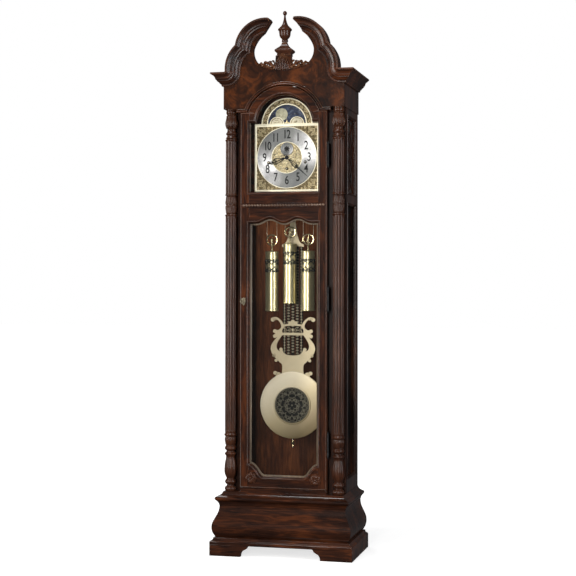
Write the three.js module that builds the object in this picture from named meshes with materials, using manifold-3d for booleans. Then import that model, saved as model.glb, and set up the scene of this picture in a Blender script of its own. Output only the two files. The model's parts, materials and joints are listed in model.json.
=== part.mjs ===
// A longcase ("grandfather") clock: case, full-height glazed door, dial, three-train movement,
// seconds pendulum and three cable-hung weights.  Millimetres, +Z up, +X to the viewer's right,
// front facing -Y.  The origin is on the floor, in the middle of the clock's footprint.
import * as THREE from "three";
import { mergeVertices } from "three/addons/utils/BufferGeometryUtils.js";
import Module from "manifold-3d";

const wasm = await Module();
wasm.setup();

// ---------------------------------------------------------------- driving dimensions
const GAP = 0.3; // between pieces that touch
const HEIGHT = 2350; // floor to the finial's tip
const REACH = 48; // how far the cornice and the plinth stand out from the case
const CASE_HALF = 264; // half the trunk's width
const FRIEZE_HALF = 268; // half the frieze's width, under the cornice
const BACK = 185; // plane of the case's back
const FRONT = -137; // plane of the frieze and of the column fronts
const BOARD = 18; // case side thickness
const BACK_HALF = CASE_HALF - BOARD - 0.5; // half the width of the boards between the case sides
const PLINTH_TOP = 76;
const BOMBE_TOP = 212;
const TRUNK_BOTTOM = 270; // top of the base's cap, where the columns stand
const FRIEZE_BOTTOM = 1926;
const CORNICE_BOTTOM = 2025;
const CORNICE_HIGH = 58; // width of the cornice and swan-neck moulding
const NOTCH_BACK = -82; // back of the corner recess that each column stands in
const POST_BACK = -62;

const DOOR_HALF = 191.5; // half the door's width
const DOOR_FRONT = -132;
const DOOR_BACK = -110;
const DOOR_BOTTOM = 289;
const DOOR_SHOULDER = 1909; // top of the door's stiles
const SIGHT_HALF = 154; // half the width of both glazed openings
const ARCH_Z = 1851.5; // centre of the door-head arch
const DOOR_ARCH_R = 170;
const SIGHT_ARCH_Z = 1858;
const SIGHT_ARCH_R = 127;
const SIGHT_SHOULDER = 1868;
const MID_RAIL_TOP = 1561;
const HINGE = { x: 197, y: -130, r: 3.6, length: 100 };
const HINGE_Z = { top: 1720, middle: 1100, bottom: 480 };
const KEY = { x: -176, z: 1091 };

const DIAL = { z: 1716, front: -70, thick: 2, half: 144.5, bottom: 1567 };
const MOON_ARCH = { z: 1862, outer: 115, window: 85 };
const WINDING = { chime: [-82, 1695], going: [0, 1668], strike: [82, 1695] };
const SEAT_TOP = 1600;
const PLATE = { half: 112, top: 1800, front: -50, back: 14, thick: 3 };

const CABLE_R = 0.8;
const ROPE_R = 22.5; // radius of the cable's line on the drums and on the pulleys
const WEIGHT = { r: 30, length: 264, y: -10, top: { chime: 1309, going: 1343, strike: 1311 } };
const PULLEY_UP = 50; // pulley centre above the weight's top

const PIVOT_Z = 1720; // where the pendulum bends
const CRUTCH_PIN_Z = 1660;
const PENDULUM_Y = 45;
const BOB = { r: 147, z: 632 };

// ---------------------------------------------------------------- finishes
const finish = (color, roughness, metalness) => ({ color, roughness, metalness });
const CHERRY = finish("#3f1d12", 0.35, 0);
const BURL = finish("#5a2a16", 0.3, 0);
const SOFTWOOD = finish("#7a5638", 0.7, 0);
const BRASS = finish("#c9a659", 0.25, 1);
const SATIN_BRASS = finish("#bfa775", 0.4, 1);
const STEEL = finish("#9a9ca0", 0.35, 1);
const SILVERED = finish("#c9ccd3", 0.35, 0.6);
const BLACK = finish("#15120f", 0.5, 0.3);
const SKY = finish("#2d3a66", 0.6, 0);
const GLASS = finish("#dfe8e6", 0.05, 0);

// ---------------------------------------------------------------- shape helpers
const group = new THREE.Group();

function solidOf(geometry) {
  const bare = new THREE.BufferGeometry();
  bare.setAttribute("position", geometry.getAttribute("position"));
  if (geometry.index) bare.setIndex(geometry.index);
  const merged = mergeVertices(bare, 1e-4);
  const make = (triVerts) =>
    new wasm.Manifold(
      new wasm.Mesh({
        numProp: 3,
        vertProperties: merged.attributes.position.array,
        triVerts,
      }),
    );
  const kept = [];
  for (let i = 0; i < merged.index.count; i += 3) {
    const [a, b, c] = merged.index.array.slice(i, i + 3);
    if (a !== b && b !== c && c !== a) kept.push(a, b, c);
  }
  const triangles = new Uint32Array(kept);
  const made = make(triangles);
  return made.volume() >= 0 ? made : make(triangles.reverse());
}

function geometryOf(solid) {
  const mesh = solid.getMesh();
  const geometry = new THREE.BufferGeometry();
  geometry.setAttribute("position", new THREE.BufferAttribute(mesh.vertProperties, 3));
  geometry.setIndex(new THREE.BufferAttribute(mesh.triVerts, 1));
  geometry.computeVertexNormals();
  return geometry;
}

const join = (...geometries) =>
  geometryOf(geometries.map(solidOf).reduce((whole, next) => whole.add(next)));
const cut = (body, ...tools) =>
  geometryOf(tools.map(solidOf).reduce((left, tool) => left.subtract(tool), solidOf(body)));

function part(name, geometry, look) {
  const mesh = new THREE.Mesh(geometryOf(solidOf(geometry)), new THREE.MeshStandardMaterial(look));
  mesh.name = name;
  group.add(mesh);
}

const box = (x0, x1, y0, y1, z0, z1) =>
  new THREE.BoxGeometry(x1 - x0, y1 - y0, z1 - z0).translate(
    (x0 + x1) / 2,
    (y0 + y1) / 2,
    (z0 + z1) / 2,
  );

const vectors = (points) => points.map(([u, v]) => new THREE.Vector2(u, v));
const mirrored = (points) => points.map(([u, v]) => [-u, v]).reverse();
const bothSides = (half) => [...half, ...mirrored(half)];

// Points on an arc, angles in degrees.
function arc(cu, cv, r, from, to, steps) {
  return Array.from({ length: steps + 1 }, (_, i) => {
    const a = THREE.MathUtils.degToRad(from + ((to - from) * i) / steps);
    return [cu + r * Math.cos(a), cv + r * Math.sin(a)];
  });
}

const anticlockwise = (points) =>
  THREE.ShapeUtils.isClockWise(vectors(points)) ? [...points].reverse() : points;

// A flat board: an outline in X and Z, from y0 to y1, with holes.
function plate(points, y0, y1, holes = []) {
  const shape = new THREE.Shape(vectors(anticlockwise(points)));
  shape.holes = holes.map((hole) => new THREE.Path(vectors(anticlockwise(hole)).reverse()));
  return new THREE.ExtrudeGeometry(shape, { depth: y1 - y0, bevelEnabled: false })
    .rotateX(Math.PI / 2)
    .translate(0, y1, 0);
}

// A flat board: an outline in X and Y, from z0 to z1.
const slab = (points, z0, z1) =>
  new THREE.ExtrudeGeometry(new THREE.Shape(vectors(points)), {
    depth: z1 - z0,
    bevelEnabled: false,
  }).translate(0, 0, z0);

const disc = (x, z, r, y0, y1, sides = 16) =>
  new THREE.CylinderGeometry(r, r, y1 - y0, sides).translate(x, (y0 + y1) / 2, z);
const rod = (x, y, r, z0, z1, sides = 8) =>
  new THREE.CylinderGeometry(r, r, z1 - z0, sides)
    .rotateX(Math.PI / 2)
    .translate(x, y, (z0 + z1) / 2);
// A turned piece: its outline either starts and ends on the axis, or is closed into a ring.
const lathe = (points, sides) =>
  new THREE.LatheGeometry(vectors(points[0][0] > 0 ? [...points, points[0]] : points), sides);
// Turned about a vertical axis from [radius, z] pairs, or about a front-to-back axis from [radius, y].
const turned = (points, x, y, sides) =>
  lathe(points, sides).rotateX(Math.PI / 2).translate(x, y, 0);
const turnedAlongY = (points, x, z, sides) => lathe(points, sides).translate(x, 0, z);

// A moulding: the closed profile's points are placed at each station, and the ends are capped.
function run(outline, stations) {
  const profile = anticlockwise(outline);
  const n = profile.length;
  const rings = stations.map((place) => profile.map(([u, v]) => place(u, v)));
  const index = [];
  for (let k = 0; k + 1 < rings.length; k++)
    for (let i = 0; i < n; i++) {
      const j = (i + 1) % n;
      const a = k * n;
      index.push(a + i, a + n + i, a + j, a + j, a + n + i, a + n + j);
    }
  const last = (rings.length - 1) * n;
  for (const [a, b, c] of THREE.ShapeUtils.triangulateShape(vectors(profile), [])) {
    index.push(a, b, c);
    index.push(last + a, last + c, last + b);
  }
  const geometry = new THREE.BufferGeometry();
  geometry.setAttribute("position", new THREE.Float32BufferAttribute(rings.flat(2), 3));
  geometry.setIndex(index);
  return geometry;
}

// A moulding mitred round the case's left side, front and right side.  A profile point is how far
// it stands out from the trunk, and its height.
const aroundCase = (profile) =>
  run(profile, [
    (out, z) => [-CASE_HALF - out, BACK, z],
    (out, z) => [-CASE_HALF - out, FRONT - out, z],
    (out, z) => [CASE_HALF + out, FRONT - out, z],
    (out, z) => [CASE_HALF + out, BACK, z],
  ]);

// ---------------------------------------------------------------- base
function plinth() {
  const frame = aroundCase([
    [REACH, 0],
    [REACH, 62],
    [35, PLINTH_TOP],
    [-BOARD, PLINTH_TOP],
    [-BOARD, 40],
    [REACH - 20, 40],
    [REACH - 20, 0],
  ]);
  const halfGap = [
    [178, -5],
    [175, 0],
    ...arc(149, 6, 25, 0, 70, 4),
    [148, 36],
    ...arc(134, 36, 13, 0, 90, 3),
  ];
  const bracketGap = plate(bothSides(halfGap), FRONT - REACH - 5, FRONT);
  const floor = box(-CASE_HALF, CASE_HALF, FRONT, BACK - 9, 58, 70);
  return cut(join(frame, floor), bracketGap);
}
part("plinth", plinth(), CHERRY);

// The swelling carcass, with its back board.
function bombeBase() {
  const swell = aroundCase([
    [26, PLINTH_TOP + GAP],
    [30, 84],
    [37, 98],
    [40.5, 116],
    [39, 134],
    [34, 149],
    [25, 167],
    [17, 185],
    [13.5, 200],
    [13, BOMBE_TOP],
    [-BOARD, BOMBE_TOP],
    [-BOARD, PLINTH_TOP + GAP],
  ]);
  const backBoard = box(-BACK_HALF, BACK_HALF, BACK - 9, BACK - 1, PLINTH_TOP + GAP, 254 - GAP);
  const joint = box(-250, 250, BACK - 9, BACK - 1, PLINTH_TOP + GAP, BOMBE_TOP);
  return join(swell, backBoard, joint);
}
part("bombe_base", bombeBase(), CHERRY);

function baseCap() {
  const frame = aroundCase([
    [13, BOMBE_TOP + GAP],
    [16, 222],
    [22, 230],
    [29, 238],
    [30, 243],
    [27, 248],
    [17, 253],
    [7, 259],
    [2, 267],
    [GAP, 274],
    [GAP, TRUNK_BOTTOM],
    [-56, TRUNK_BOTTOM],
    [-56, 256],
    [-BOARD, 256],
    [-BOARD, BOMBE_TOP + GAP],
  ]);
  const deck = box(-220, 220, FRONT + 40, BACK - 10, 258, TRUNK_BOTTOM);
  const backNotch = box(-BACK_HALF - GAP, BACK_HALF + GAP, BACK - 9.5, BACK + 5, 210, 290);
  const sill = box(-190, 190, DOOR_FRONT + 2, DOOR_BACK, TRUNK_BOTTOM - 4, DOOR_BOTTOM - 2);
  return cut(join(frame, sill, deck), backNotch);
}
part("base_cap_frame", baseCap(), CHERRY);

// ---------------------------------------------------------------- trunk
part("back_panel", box(-BACK_HALF, BACK_HALF, BACK - 9, BACK - 1, 254, 2060), SOFTWOOD);

const SIDE_OPEN = { front: -45, back: 135 };
const LOWER_OPEN = { bottom: 334, top: 1510 };
const FRET_OPEN = { bottom: 1561, top: 1890 };

function sidePanel(side) {
  const x = (from, to) => [side * from, side * to].sort((a, b) => a - b);
  const panel = box(
    ...x(CASE_HALF - BOARD, CASE_HALF),
    POST_BACK + GAP,
    BACK,
    TRUNK_BOTTOM + GAP,
    FRIEZE_BOTTOM + 10,
  );
  const frieze = box(...x(250, FRIEZE_HALF), FRONT + 22 + GAP, BACK, FRIEZE_BOTTOM, 2075);
  const window_ = (open) =>
    box(...x(200, 300), SIDE_OPEN.front, SIDE_OPEN.back, open.bottom, open.top);
  return cut(join(panel, frieze), window_(LOWER_OPEN), window_(FRET_OPEN));
}

// A pane or fretwork panel set into a side opening, 12 mm behind the outer face.
function sideInfill(side, open, thick) {
  const outer = side * (CASE_HALF - 10);
  const inner = outer - side * thick;
  return box(
    Math.min(outer, inner),
    Math.max(outer, inner),
    SIDE_OPEN.front + GAP,
    SIDE_OPEN.back - GAP,
    open.bottom + GAP,
    open.top - GAP,
  );
}

// The post behind each column: the face frame's stile and the back of the corner recess.
function cornerPost(side) {
  const section = [
    [168, -109],
    [191, -109],
    [191, NOTCH_BACK],
    [CASE_HALF, NOTCH_BACK],
    [CASE_HALF, POST_BACK],
    [168, POST_BACK],
  ].map(([x, y]) => [side * x, y]);
  const post = slab(section, TRUNK_BOTTOM + GAP, FRIEZE_BOTTOM - GAP);
  return side < 0 ? cut(post, disc(KEY.x, KEY.z, 14.5, -112, -99)) : post;
}

// Turned outline of a column, [radius, z], from its foot to its abacus.
const COLUMN = { x: 239, y: -110.5, foot: TRUNK_BOTTOM + GAP, top: FRIEZE_BOTTOM - GAP };
const COLUMN_OUTLINE = [
  [0, COLUMN.foot],
  [20, COLUMN.foot],
  [25, 281],
  [16, 295],
  [24.5, 309],
  [18, 322],
  [27, 352],
  [26, 378],
  [19, 418],
  [25.5, 431],
  [18, 441],
  [25.5, 456],
  [21, 477],
  [26, 500],
  [25, 527],
  [25, 1456],
  [27.5, 1464],
  [23.5, 1478],
  [26, 1510],
  [23.5, 1545],
  [27.5, 1554],
  [25, 1562],
  [25, 1784],
  [27.5, 1791],
  [20, 1808],
  [25, 1820],
  [19, 1832],
  [27.5, 1858],
  [26, 1880],
  [21, 1902],
  [24, 1912],
  [24, COLUMN.top],
  [0, COLUMN.top],
];

for (const [word, side] of [
  ["left", -1],
  ["right", 1],
]) {
  part(`side_panel_${word}`, sidePanel(side), CHERRY);
  part(`side_glass_${word}`, sideInfill(side, LOWER_OPEN, 3), GLASS);
  part(`side_fret_${word}`, sideInfill(side, FRET_OPEN, 5), CHERRY);
  part(`corner_post_${word}`, cornerPost(side), CHERRY);
  part(`column_${word}`, turned(COLUMN_OUTLINE, side * COLUMN.x, COLUMN.y, 12), CHERRY);
}

// ---------------------------------------------------------------- pediment and cornice
// The swan-neck moulding follows three arcs, given here for its lower edge.  COVE turns it up from
// the level cornice, and NECK and SCROLL meet in a mitre.
const COVE = { x: 254, z: 2087, r: 62 };
const NECK = { x: 111, z: 2095, r: 81 };
const SCROLL = { x: 72, z: 2177, r: 76 };
// The scroll's blunt end: its angle at the lower edge, and from `level` above that to the crown.
const SCROLL_END = { inner: 80, outer: 99, level: 47 };

// Where the two arcs meet, `t` above the lower edge.
function mitre(t) {
  const dx = NECK.x - SCROLL.x;
  const dz = NECK.z - SCROLL.z;
  const span = Math.hypot(dx, dz);
  const ra = SCROLL.r + t;
  const rb = NECK.r + t;
  const along = (ra * ra - rb * rb + span * span) / (2 * span);
  const across = Math.sqrt(ra * ra - along * along);
  return [
    SCROLL.x + (along * dx - across * dz) / span,
    SCROLL.z + (along * dz + across * dx) / span,
  ];
}

const degrees = (cu, cv, [u, v]) => THREE.MathUtils.radToDeg(Math.atan2(v - cv, u - cu));
const onArc = (c, r, angle) => arc(c.x, c.z, r, angle, angle, 1)[0];

// The moulding's line in X and Z, `t` above its lower edge, from the cornice to the scroll's end.
function neckLine(t, coveSteps, neckSteps, scrollSteps) {
  const meet = mitre(t);
  const neckTo = degrees(NECK.x, NECK.z, meet);
  const scrollFrom = degrees(SCROLL.x, SCROLL.z, meet);
  const share = Math.min(1, t / SCROLL_END.level);
  const scrollTo = THREE.MathUtils.lerp(SCROLL_END.inner, SCROLL_END.outer, share);
  return [
    ...arc(COVE.x, COVE.z, COVE.r - t, 270, 180, coveSteps),
    ...arc(NECK.x, NECK.z, NECK.r + t, 0, neckTo, neckSteps),
    ...arc(SCROLL.x, SCROLL.z, SCROLL.r + t, scrollFrom, scrollTo, scrollSteps).slice(1),
  ];
}

function swanNeck(side) {
  // Height above the lower edge, and how far it stands out from the frieze.
  const profile = [
    [0, GAP],
    [0, 6],
    [9, 8],
    [14, 10],
    [21, 21],
    [31, 25],
    [33, 28],
    [42, 33],
    [50, 44],
    [52, REACH],
    [CORNICE_HIGH, REACH],
    [CORNICE_HIGH, -22],
    [50.5, -22],
    [50.5, GAP],
  ];
  const level = (x, y) => (t, out) => [side * x(out), y(out), CORNICE_BOTTOM + t];
  const steps = [4, 5, 8];
  const count = neckLine(0, ...steps).length;
  const along = Array.from({ length: count }, (_, k) => (t, out) => {
    const [x, z] = neckLine(t, ...steps)[k];
    return [side * x, FRONT - out, z];
  });
  return run(profile, [
    level(
      (out) => FRIEZE_HALF + out,
      () => BACK,
    ),
    level(
      (out) => FRIEZE_HALF + out,
      (out) => FRONT - out,
    ),
    ...along,
  ]);
}

// The veneered frieze and pediment board: it fills the swan necks, and is cut away between them.
function pedimentBoard() {
  const rim = neckLine(49.5, 4, 5, 8).map(([x, z]) => [x, z]);
  const half = [
    [FRIEZE_HALF, FRIEZE_BOTTOM],
    [FRIEZE_HALF, CORNICE_BOTTOM + 49.5],
    ...rim,
    onArc(SCROLL, SCROLL.r, SCROLL_END.inner),
    [105, 2234],
    [122, 2212],
    [132, 2190],
    [134, 2170],
    [130, 2148],
    [120, 2128],
    [104, 2112],
    [70, 2102],
    [46, 2106],
    [36, 2124],
    [34, 2153],
  ];
  const foot = bothSides(half);
  const archFoot = THREE.MathUtils.radToDeg(Math.asin((FRIEZE_BOTTOM - ARCH_Z) / 188.6));
  return plate(
    [...foot, ...arc(0, ARCH_Z, 188.6, 180 - archFoot, archFoot, 16)],
    FRONT,
    FRONT + 22,
  );
}

// The moulding round the door's head: an arch with level shoulders.
function archMoulding() {
  const inner = 173.5;
  const outer = 187.5;
  const bottom = DOOR_SHOULDER + 0.8;
  const top = FRIEZE_BOTTOM - GAP;
  const innerFoot = THREE.MathUtils.radToDeg(Math.asin((bottom - ARCH_Z) / inner));
  const outerFoot = THREE.MathUtils.radToDeg(Math.asin((top - ARCH_Z) / outer));
  return plate(
    [
      [208, bottom],
      [208, top],
      ...arc(0, ARCH_Z, outer, outerFoot, 180 - outerFoot, 16),
      [-208, top],
      [-208, bottom],
      ...arc(0, ARCH_Z, inner, 180 - innerFoot, innerFoot, 16),
    ],
    FRONT - 4,
    FRONT + 22,
  );
}

// Carved shell under the finial, with foliage to each side.
const SHELL_HALF = [
  [0, 2086],
  [30, 2090],
  [52, 2098],
  [84, 2090],
  [112, 2094],
  [110, 2112],
  [98, 2123],
  [62, 2118],
  [44, 2134],
  [38, 2152],
];

// Moulded block and turned urn, [radius, z].
const FINIAL = { y: -110, bottom: 2153.5 };
const FINIAL_OUTLINE = [
  [0, 2206],
  [10, 2207],
  [11, 2213],
  [14.6, 2218],
  [12.6, 2225],
  [19.5, 2233],
  [24.4, 2244],
  [26.4, 2261],
  [31.2, 2267],
  [22.5, 2278],
  [15, 2286],
  [8, 2302],
  [4.5, 2320],
  [4, 2331],
  [9, 2341],
  [0, HEIGHT],
];

function finial() {
  const block = run(
    [
      [-1, -1],
      [1, -1],
      [1, 1],
      [-1, 1],
    ],
    [
      [31, FINIAL.bottom],
      [29, 2160],
      [33, 2167],
      [38, 2172],
      [38, 2179],
      [31, 2184],
      [21, 2192],
      [13.5, 2203],
      [11.5, 2209],
    ].map(([half, z]) => (u, v) => [u * half, FINIAL.y + v * half * 0.84, z]),
  );
  return join(block, turned(FINIAL_OUTLINE, 0, FINIAL.y, 12));
}

part("pediment_board", pedimentBoard(), BURL);
part("arch_moulding", archMoulding(), CHERRY);
part("swan_neck_left", swanNeck(-1), CHERRY);
part("swan_neck_right", swanNeck(1), CHERRY);
part("top_board", box(-249.5, 249.5, FRONT + 22 + GAP, 175.5, 2062, 2074), SOFTWOOD);
part("shell_carving", plate(bothSides(SHELL_HALF), FRONT - 16, FRONT - GAP), CHERRY);
part("finial", finial(), CHERRY);

// ---------------------------------------------------------------- door
const SIGHT = SIGHT_HALF - GAP;
part(
  "door_stile_left",
  cut(
    box(-DOOR_HALF, -SIGHT_HALF, DOOR_FRONT, DOOR_BACK, DOOR_BOTTOM, DOOR_SHOULDER),
    disc(KEY.x, KEY.z, 4, -140, -100, 12),
  ),
  CHERRY,
);
part(
  "door_stile_right",
  box(SIGHT_HALF, DOOR_HALF, DOOR_FRONT, DOOR_BACK, DOOR_BOTTOM, DOOR_SHOULDER),
  CHERRY,
);

function doorTopRail() {
  const top = DOOR_SHOULDER + GAP;
  const outerFoot = THREE.MathUtils.radToDeg(Math.asin((top - ARCH_Z) / DOOR_ARCH_R));
  const rise = SIGHT_SHOULDER - SIGHT_ARCH_Z;
  const innerFoot = THREE.MathUtils.radToDeg(Math.asin(rise / SIGHT_ARCH_R));
  return plate(
    [
      [SIGHT, SIGHT_SHOULDER],
      [SIGHT, top],
      ...arc(0, ARCH_Z, DOOR_ARCH_R, outerFoot, 180 - outerFoot, 16),
      [-SIGHT, top],
      [-SIGHT, SIGHT_SHOULDER],
      ...arc(0, SIGHT_ARCH_Z, SIGHT_ARCH_R, 180 - innerFoot, innerFoot, 16),
    ],
    DOOR_FRONT,
    DOOR_BACK,
  );
}
part("door_top_rail", doorTopRail(), CHERRY);

// The serpentine under the middle rail: from each side it rises to a hump and dips at the middle.
const serpentine = (x) => 1440 - 10 * Math.cos((Math.PI * Math.min(x, 124)) / 62);
function doorMidRail() {
  const steps = 8;
  const half = [
    [SIGHT, MID_RAIL_TOP],
    [SIGHT, serpentine(124)],
    ...Array.from({ length: steps }, (_, i) => {
      const x = 124 * (1 - i / steps);
      return [x, serpentine(x)];
    }),
  ];
  const rail = plate([...half, [0, serpentine(0)], ...mirrored(half)], DOOR_FRONT, DOOR_BACK);
  const ropeBed = box(-DOOR_HALF + 4, DOOR_HALF - 4, DOOR_FRONT - 2, DOOR_FRONT - GAP, 1496, 1514);
  const bridge = box(-SIGHT, SIGHT, DOOR_FRONT - 1, DOOR_FRONT + 1, 1498, 1512);
  return join(rail, ropeBed, bridge);
}
part("door_mid_rail", doorMidRail(), CHERRY);

part(
  "door_bottom_rail",
  plate(
    bothSides([
      [SIGHT, DOOR_BOTTOM],
      [SIGHT, 389],
      [141, 386],
      [129, 377],
      [115, 360],
      [103, 344],
      [90, 334],
    ]),
    DOOR_FRONT,
    DOOR_BACK,
  ),
  CHERRY,
);

const PANE = { front: DOOR_BACK + GAP, back: DOOR_BACK + 3.3, half: SIGHT_HALF + 6 };
part(
  "dial_glass",
  plate(
    [
      [-PANE.half, 1555],
      [PANE.half, 1555],
      [PANE.half, SIGHT_SHOULDER + 6],
      ...arc(0, SIGHT_ARCH_Z, SIGHT_ARCH_R + 6, 7, 173, 16),
      [-PANE.half, SIGHT_SHOULDER + 6],
    ],
    PANE.front,
    PANE.back,
  ),
  GLASS,
);
part("pendulum_glass", box(-PANE.half, PANE.half, PANE.front, PANE.back, 326, 1458), GLASS);

// Key: bow, stem through the stile, and the cam that turns in the post's recess.
part(
  "door_key",
  join(
    plate(
      arc(KEY.x, KEY.z, 9, 0, 337.5, 15).map(([x, z]) => [x, KEY.z + (z - KEY.z) * 1.2]),
      -156,
      -153,
      [arc(KEY.x, KEY.z, 5, 0, 315, 7)],
    ),
    box(KEY.x - 1.6, KEY.x + 1.6, -156, -150, KEY.z - 9, KEY.z + 9),
    disc(KEY.x, KEY.z, 2.8, -154, -102, 10),
    box(KEY.x - 11, KEY.x + 11, -106, -102, KEY.z - 3.5, KEY.z + 3.5),
  ),
  BRASS,
);

// Each hinge: a barrel in the gap beside the door, and the leaf screwed to the corner post.
for (const [word, z] of Object.entries(HINGE_Z)) {
  const low = z - HINGE.length / 2;
  const high = z + HINGE.length / 2;
  part(
    `hinge_${word}`,
    join(
      rod(HINGE.x, HINGE.y, HINGE.r, low, high, 12),
      box(193.6, 195, HINGE.y, -100, low, high),
      box(191 + GAP, 195, -108, -86, low, high),
    ),
    BLACK,
  );
}

// ---------------------------------------------------------------- dial
const MOON_HUMP = { x: 45, r: 29 };

// The window in the dial's arch: a half round, less the two humps that hide the moon.
function moonWindow() {
  const hump = arc(MOON_HUMP.x, MOON_ARCH.z, MOON_HUMP.r, 0, 180, 8);
  return [
    ...arc(0, MOON_ARCH.z, MOON_ARCH.window, 180, 0, 18),
    ...hump,
    ...mirrored(hump),
  ];
}

const windingHoles = (r) => Object.values(WINDING).map(([x, z]) => arc(x, z, r, 0, 315, 7));

function dialPlate() {
  const foot = THREE.MathUtils.radToDeg(Math.asin(3 / MOON_ARCH.outer));
  const outline = [
    [-DIAL.half, DIAL.bottom],
    [DIAL.half, DIAL.bottom],
    [DIAL.half, MOON_ARCH.z + 3],
    ...arc(0, MOON_ARCH.z, MOON_ARCH.outer, foot, 180 - foot, 18),
    [-DIAL.half, MOON_ARCH.z + 3],
  ];
  const sheet = plate(outline, DIAL.front, DIAL.front + DIAL.thick, [
    moonWindow(),
    arc(0, DIAL.z, 6.5, 0, 330, 11),
    ...windingHoles(5),
  ]);
  const moonStud = disc(0, MOON_ARCH.z - 12, 3, DIAL.front + 1, DIAL.front + 7, 12);
  return join(sheet, moonStud);
}
part("dial_plate", dialPlate(), BRASS);

const RING = { inner: 67, outer: 134, front: DIAL.front - 1.5 };
part(
  "chapter_ring",
  plate(arc(0, DIAL.z, RING.outer, 0, 352.5, 47), RING.front, DIAL.front - GAP, [
    arc(0, DIAL.z, RING.inner, 0, 348.75, 31),
    ...[WINDING.chime, WINDING.strike].map(([x, z]) => arc(x, z, 5, 0, 315, 7)),
  ]),
  SILVERED,
);

// Painted moon disc, turning on the stud behind the dial.
const MOON_DISC_Z = MOON_ARCH.z - 12;
part(
  "moon_disc",
  plate(arc(0, MOON_DISC_Z, 99, 0, 352.5, 47), DIAL.front + 3, DIAL.front + 4.5, [
    arc(0, MOON_DISC_Z, 3.5, 0, 330, 11),
  ]),
  SKY,
);

// A wooden mask closes the space between the dial and the case.
part(
  "dial_mask",
  plate(
    [
      [-167, SEAT_TOP + 2],
      [-120, SEAT_TOP + 2],
      [-120, 1972],
      [120, 1972],
      [120, SEAT_TOP + 2],
      [167, SEAT_TOP + 2],
      [167, 1924],
      [150, 2010],
      [-150, 2010],
      [-167, 1924],
    ],
    DIAL.front + 5,
    DIAL.front + 9,
  ),
  CHERRY,
);

// Hands, drawn pointing to XII and turned to their hour, with the sleeves that carry them.
const turnedTo = (geometry, hours) =>
  geometry
    .translate(0, 0, -DIAL.z)
    .rotateY(THREE.MathUtils.degToRad(hours * 30))
    .translate(0, 0, DIAL.z);
const HOURS = 8 + 22 / 60;

const hourBlade = plate(
  bothSides([
    [3, DIAL.z + 4],
    [2.2, DIAL.z + 34],
    [6, DIAL.z + 42],
    [12, DIAL.z + 56],
    [7, DIAL.z + 68],
    [2.5, DIAL.z + 76],
    [0.6, DIAL.z + 94],
  ]),
  -76,
  -75,
);
part(
  "hour_hand",
  turnedTo(
    cut(
      join(hourBlade, disc(0, DIAL.z, 9, -76, -75), disc(0, DIAL.z, 5.8, -76, -54, 14)),
      disc(0, DIAL.z, 3.6, -80, -50, 14),
    ),
    HOURS,
  ),
  BLACK,
);

const minuteBlade = plate(
  bothSides([
    [2.6, DIAL.z - 20],
    [2.6, DIAL.z + 4],
    [1.8, DIAL.z + 52],
    [6, DIAL.z + 62],
    [1.8, DIAL.z + 74],
    [0.6, DIAL.z + 126],
  ]),
  -80,
  -79,
);
part(
  "minute_hand",
  turnedTo(
    join(minuteBlade, disc(0, DIAL.z, 7, -81, -78.5), disc(0, DIAL.z, 2.9, -80, -53, 12)),
    (HOURS % 1) * 12,
  ),
  BLACK,
);

// ---------------------------------------------------------------- movement
function seatBoard() {
  const board = box(-BACK_HALF, BACK_HALF, POST_BACK + GAP, 22, SEAT_TOP - 20, SEAT_TOP);
  const slots = Object.values(WINDING).map(([x]) =>
    box(x - 28, x + 28, WEIGHT.y - 6, WEIGHT.y + 6, SEAT_TOP - 30, SEAT_TOP + 10),
  );
  return cut(board, ...slots);
}
part("seat_board", seatBoard(), SOFTWOOD);

const PLATE_OUTLINE = [
  [-PLATE.half, SEAT_TOP + GAP],
  [PLATE.half, SEAT_TOP + GAP],
  [PLATE.half, 1730],
  [60, PLATE.top],
  [-60, PLATE.top],
  [-PLATE.half, 1730],
];
const PILLARS = [
  [-100, 1612],
  [100, 1612],
  [-56, 1788],
  [56, 1788],
];
const ESCAPE = { z: PIVOT_Z + 26, r: 16, teeth: 30, y: 8 };

function frontPlate() {
  const back = PLATE.front + PLATE.thick;
  const holes = [...windingHoles(3.6), arc(0, DIAL.z, 6.2, 0, 330, 11)];
  const sheet = plate(PLATE_OUTLINE, PLATE.front, back, holes);
  const posts = PILLARS.map(([x, z]) => disc(x, z, 5, back - 1, PLATE.back - GAP, 8));
  return join(sheet, ...posts);
}
part("movement_front_plate", frontPlate(), BRASS);

// The back plate carries the pendulum's cock and the hammer's bracket.
function backPlate() {
  const holes = [...windingHoles(3.6), arc(0, PIVOT_Z, 3, 0, 315, 7)];
  const y = PLATE.back + PLATE.thick;
  return join(
    plate(PLATE_OUTLINE, PLATE.back, y, holes),
    box(-9, 9, y - 1, PENDULUM_Y + 5, PIVOT_Z + 14, PIVOT_Z + 22),
    box(-9, 9, PENDULUM_Y - 5, PENDULUM_Y + 5, PIVOT_Z + 1, PIVOT_Z + 16),
    box(54, 58, y - 1, 66, 1692, 1708),
    rod(0, 0, 2, 32, 56, 8).rotateY(Math.PI / 2).translate(0, 60, 1700),
  );
}
part("movement_back_plate", backPlate(), BRASS);

// Winding drums, each with its great wheel and its arbor, whose square end shows in the dial.
for (const [train, [x, z]] of Object.entries(WINDING)) {
  const drum = turnedAlongY(
    [
      [0, -73],
      [3, -73],
      [3, -38],
      [40, -38],
      [40, -35],
      [26, -35],
      [26, -31],
      [ROPE_R - CABLE_R, -31],
      [ROPE_R - CABLE_R, 4],
      [25, 4],
      [25, 6],
      [3, 6],
      [3, 16.5],
      [0, 16.5],
    ],
    x,
    z,
    16,
  );
  part(`${train}_drum`, drum, BRASS);
}

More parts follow.
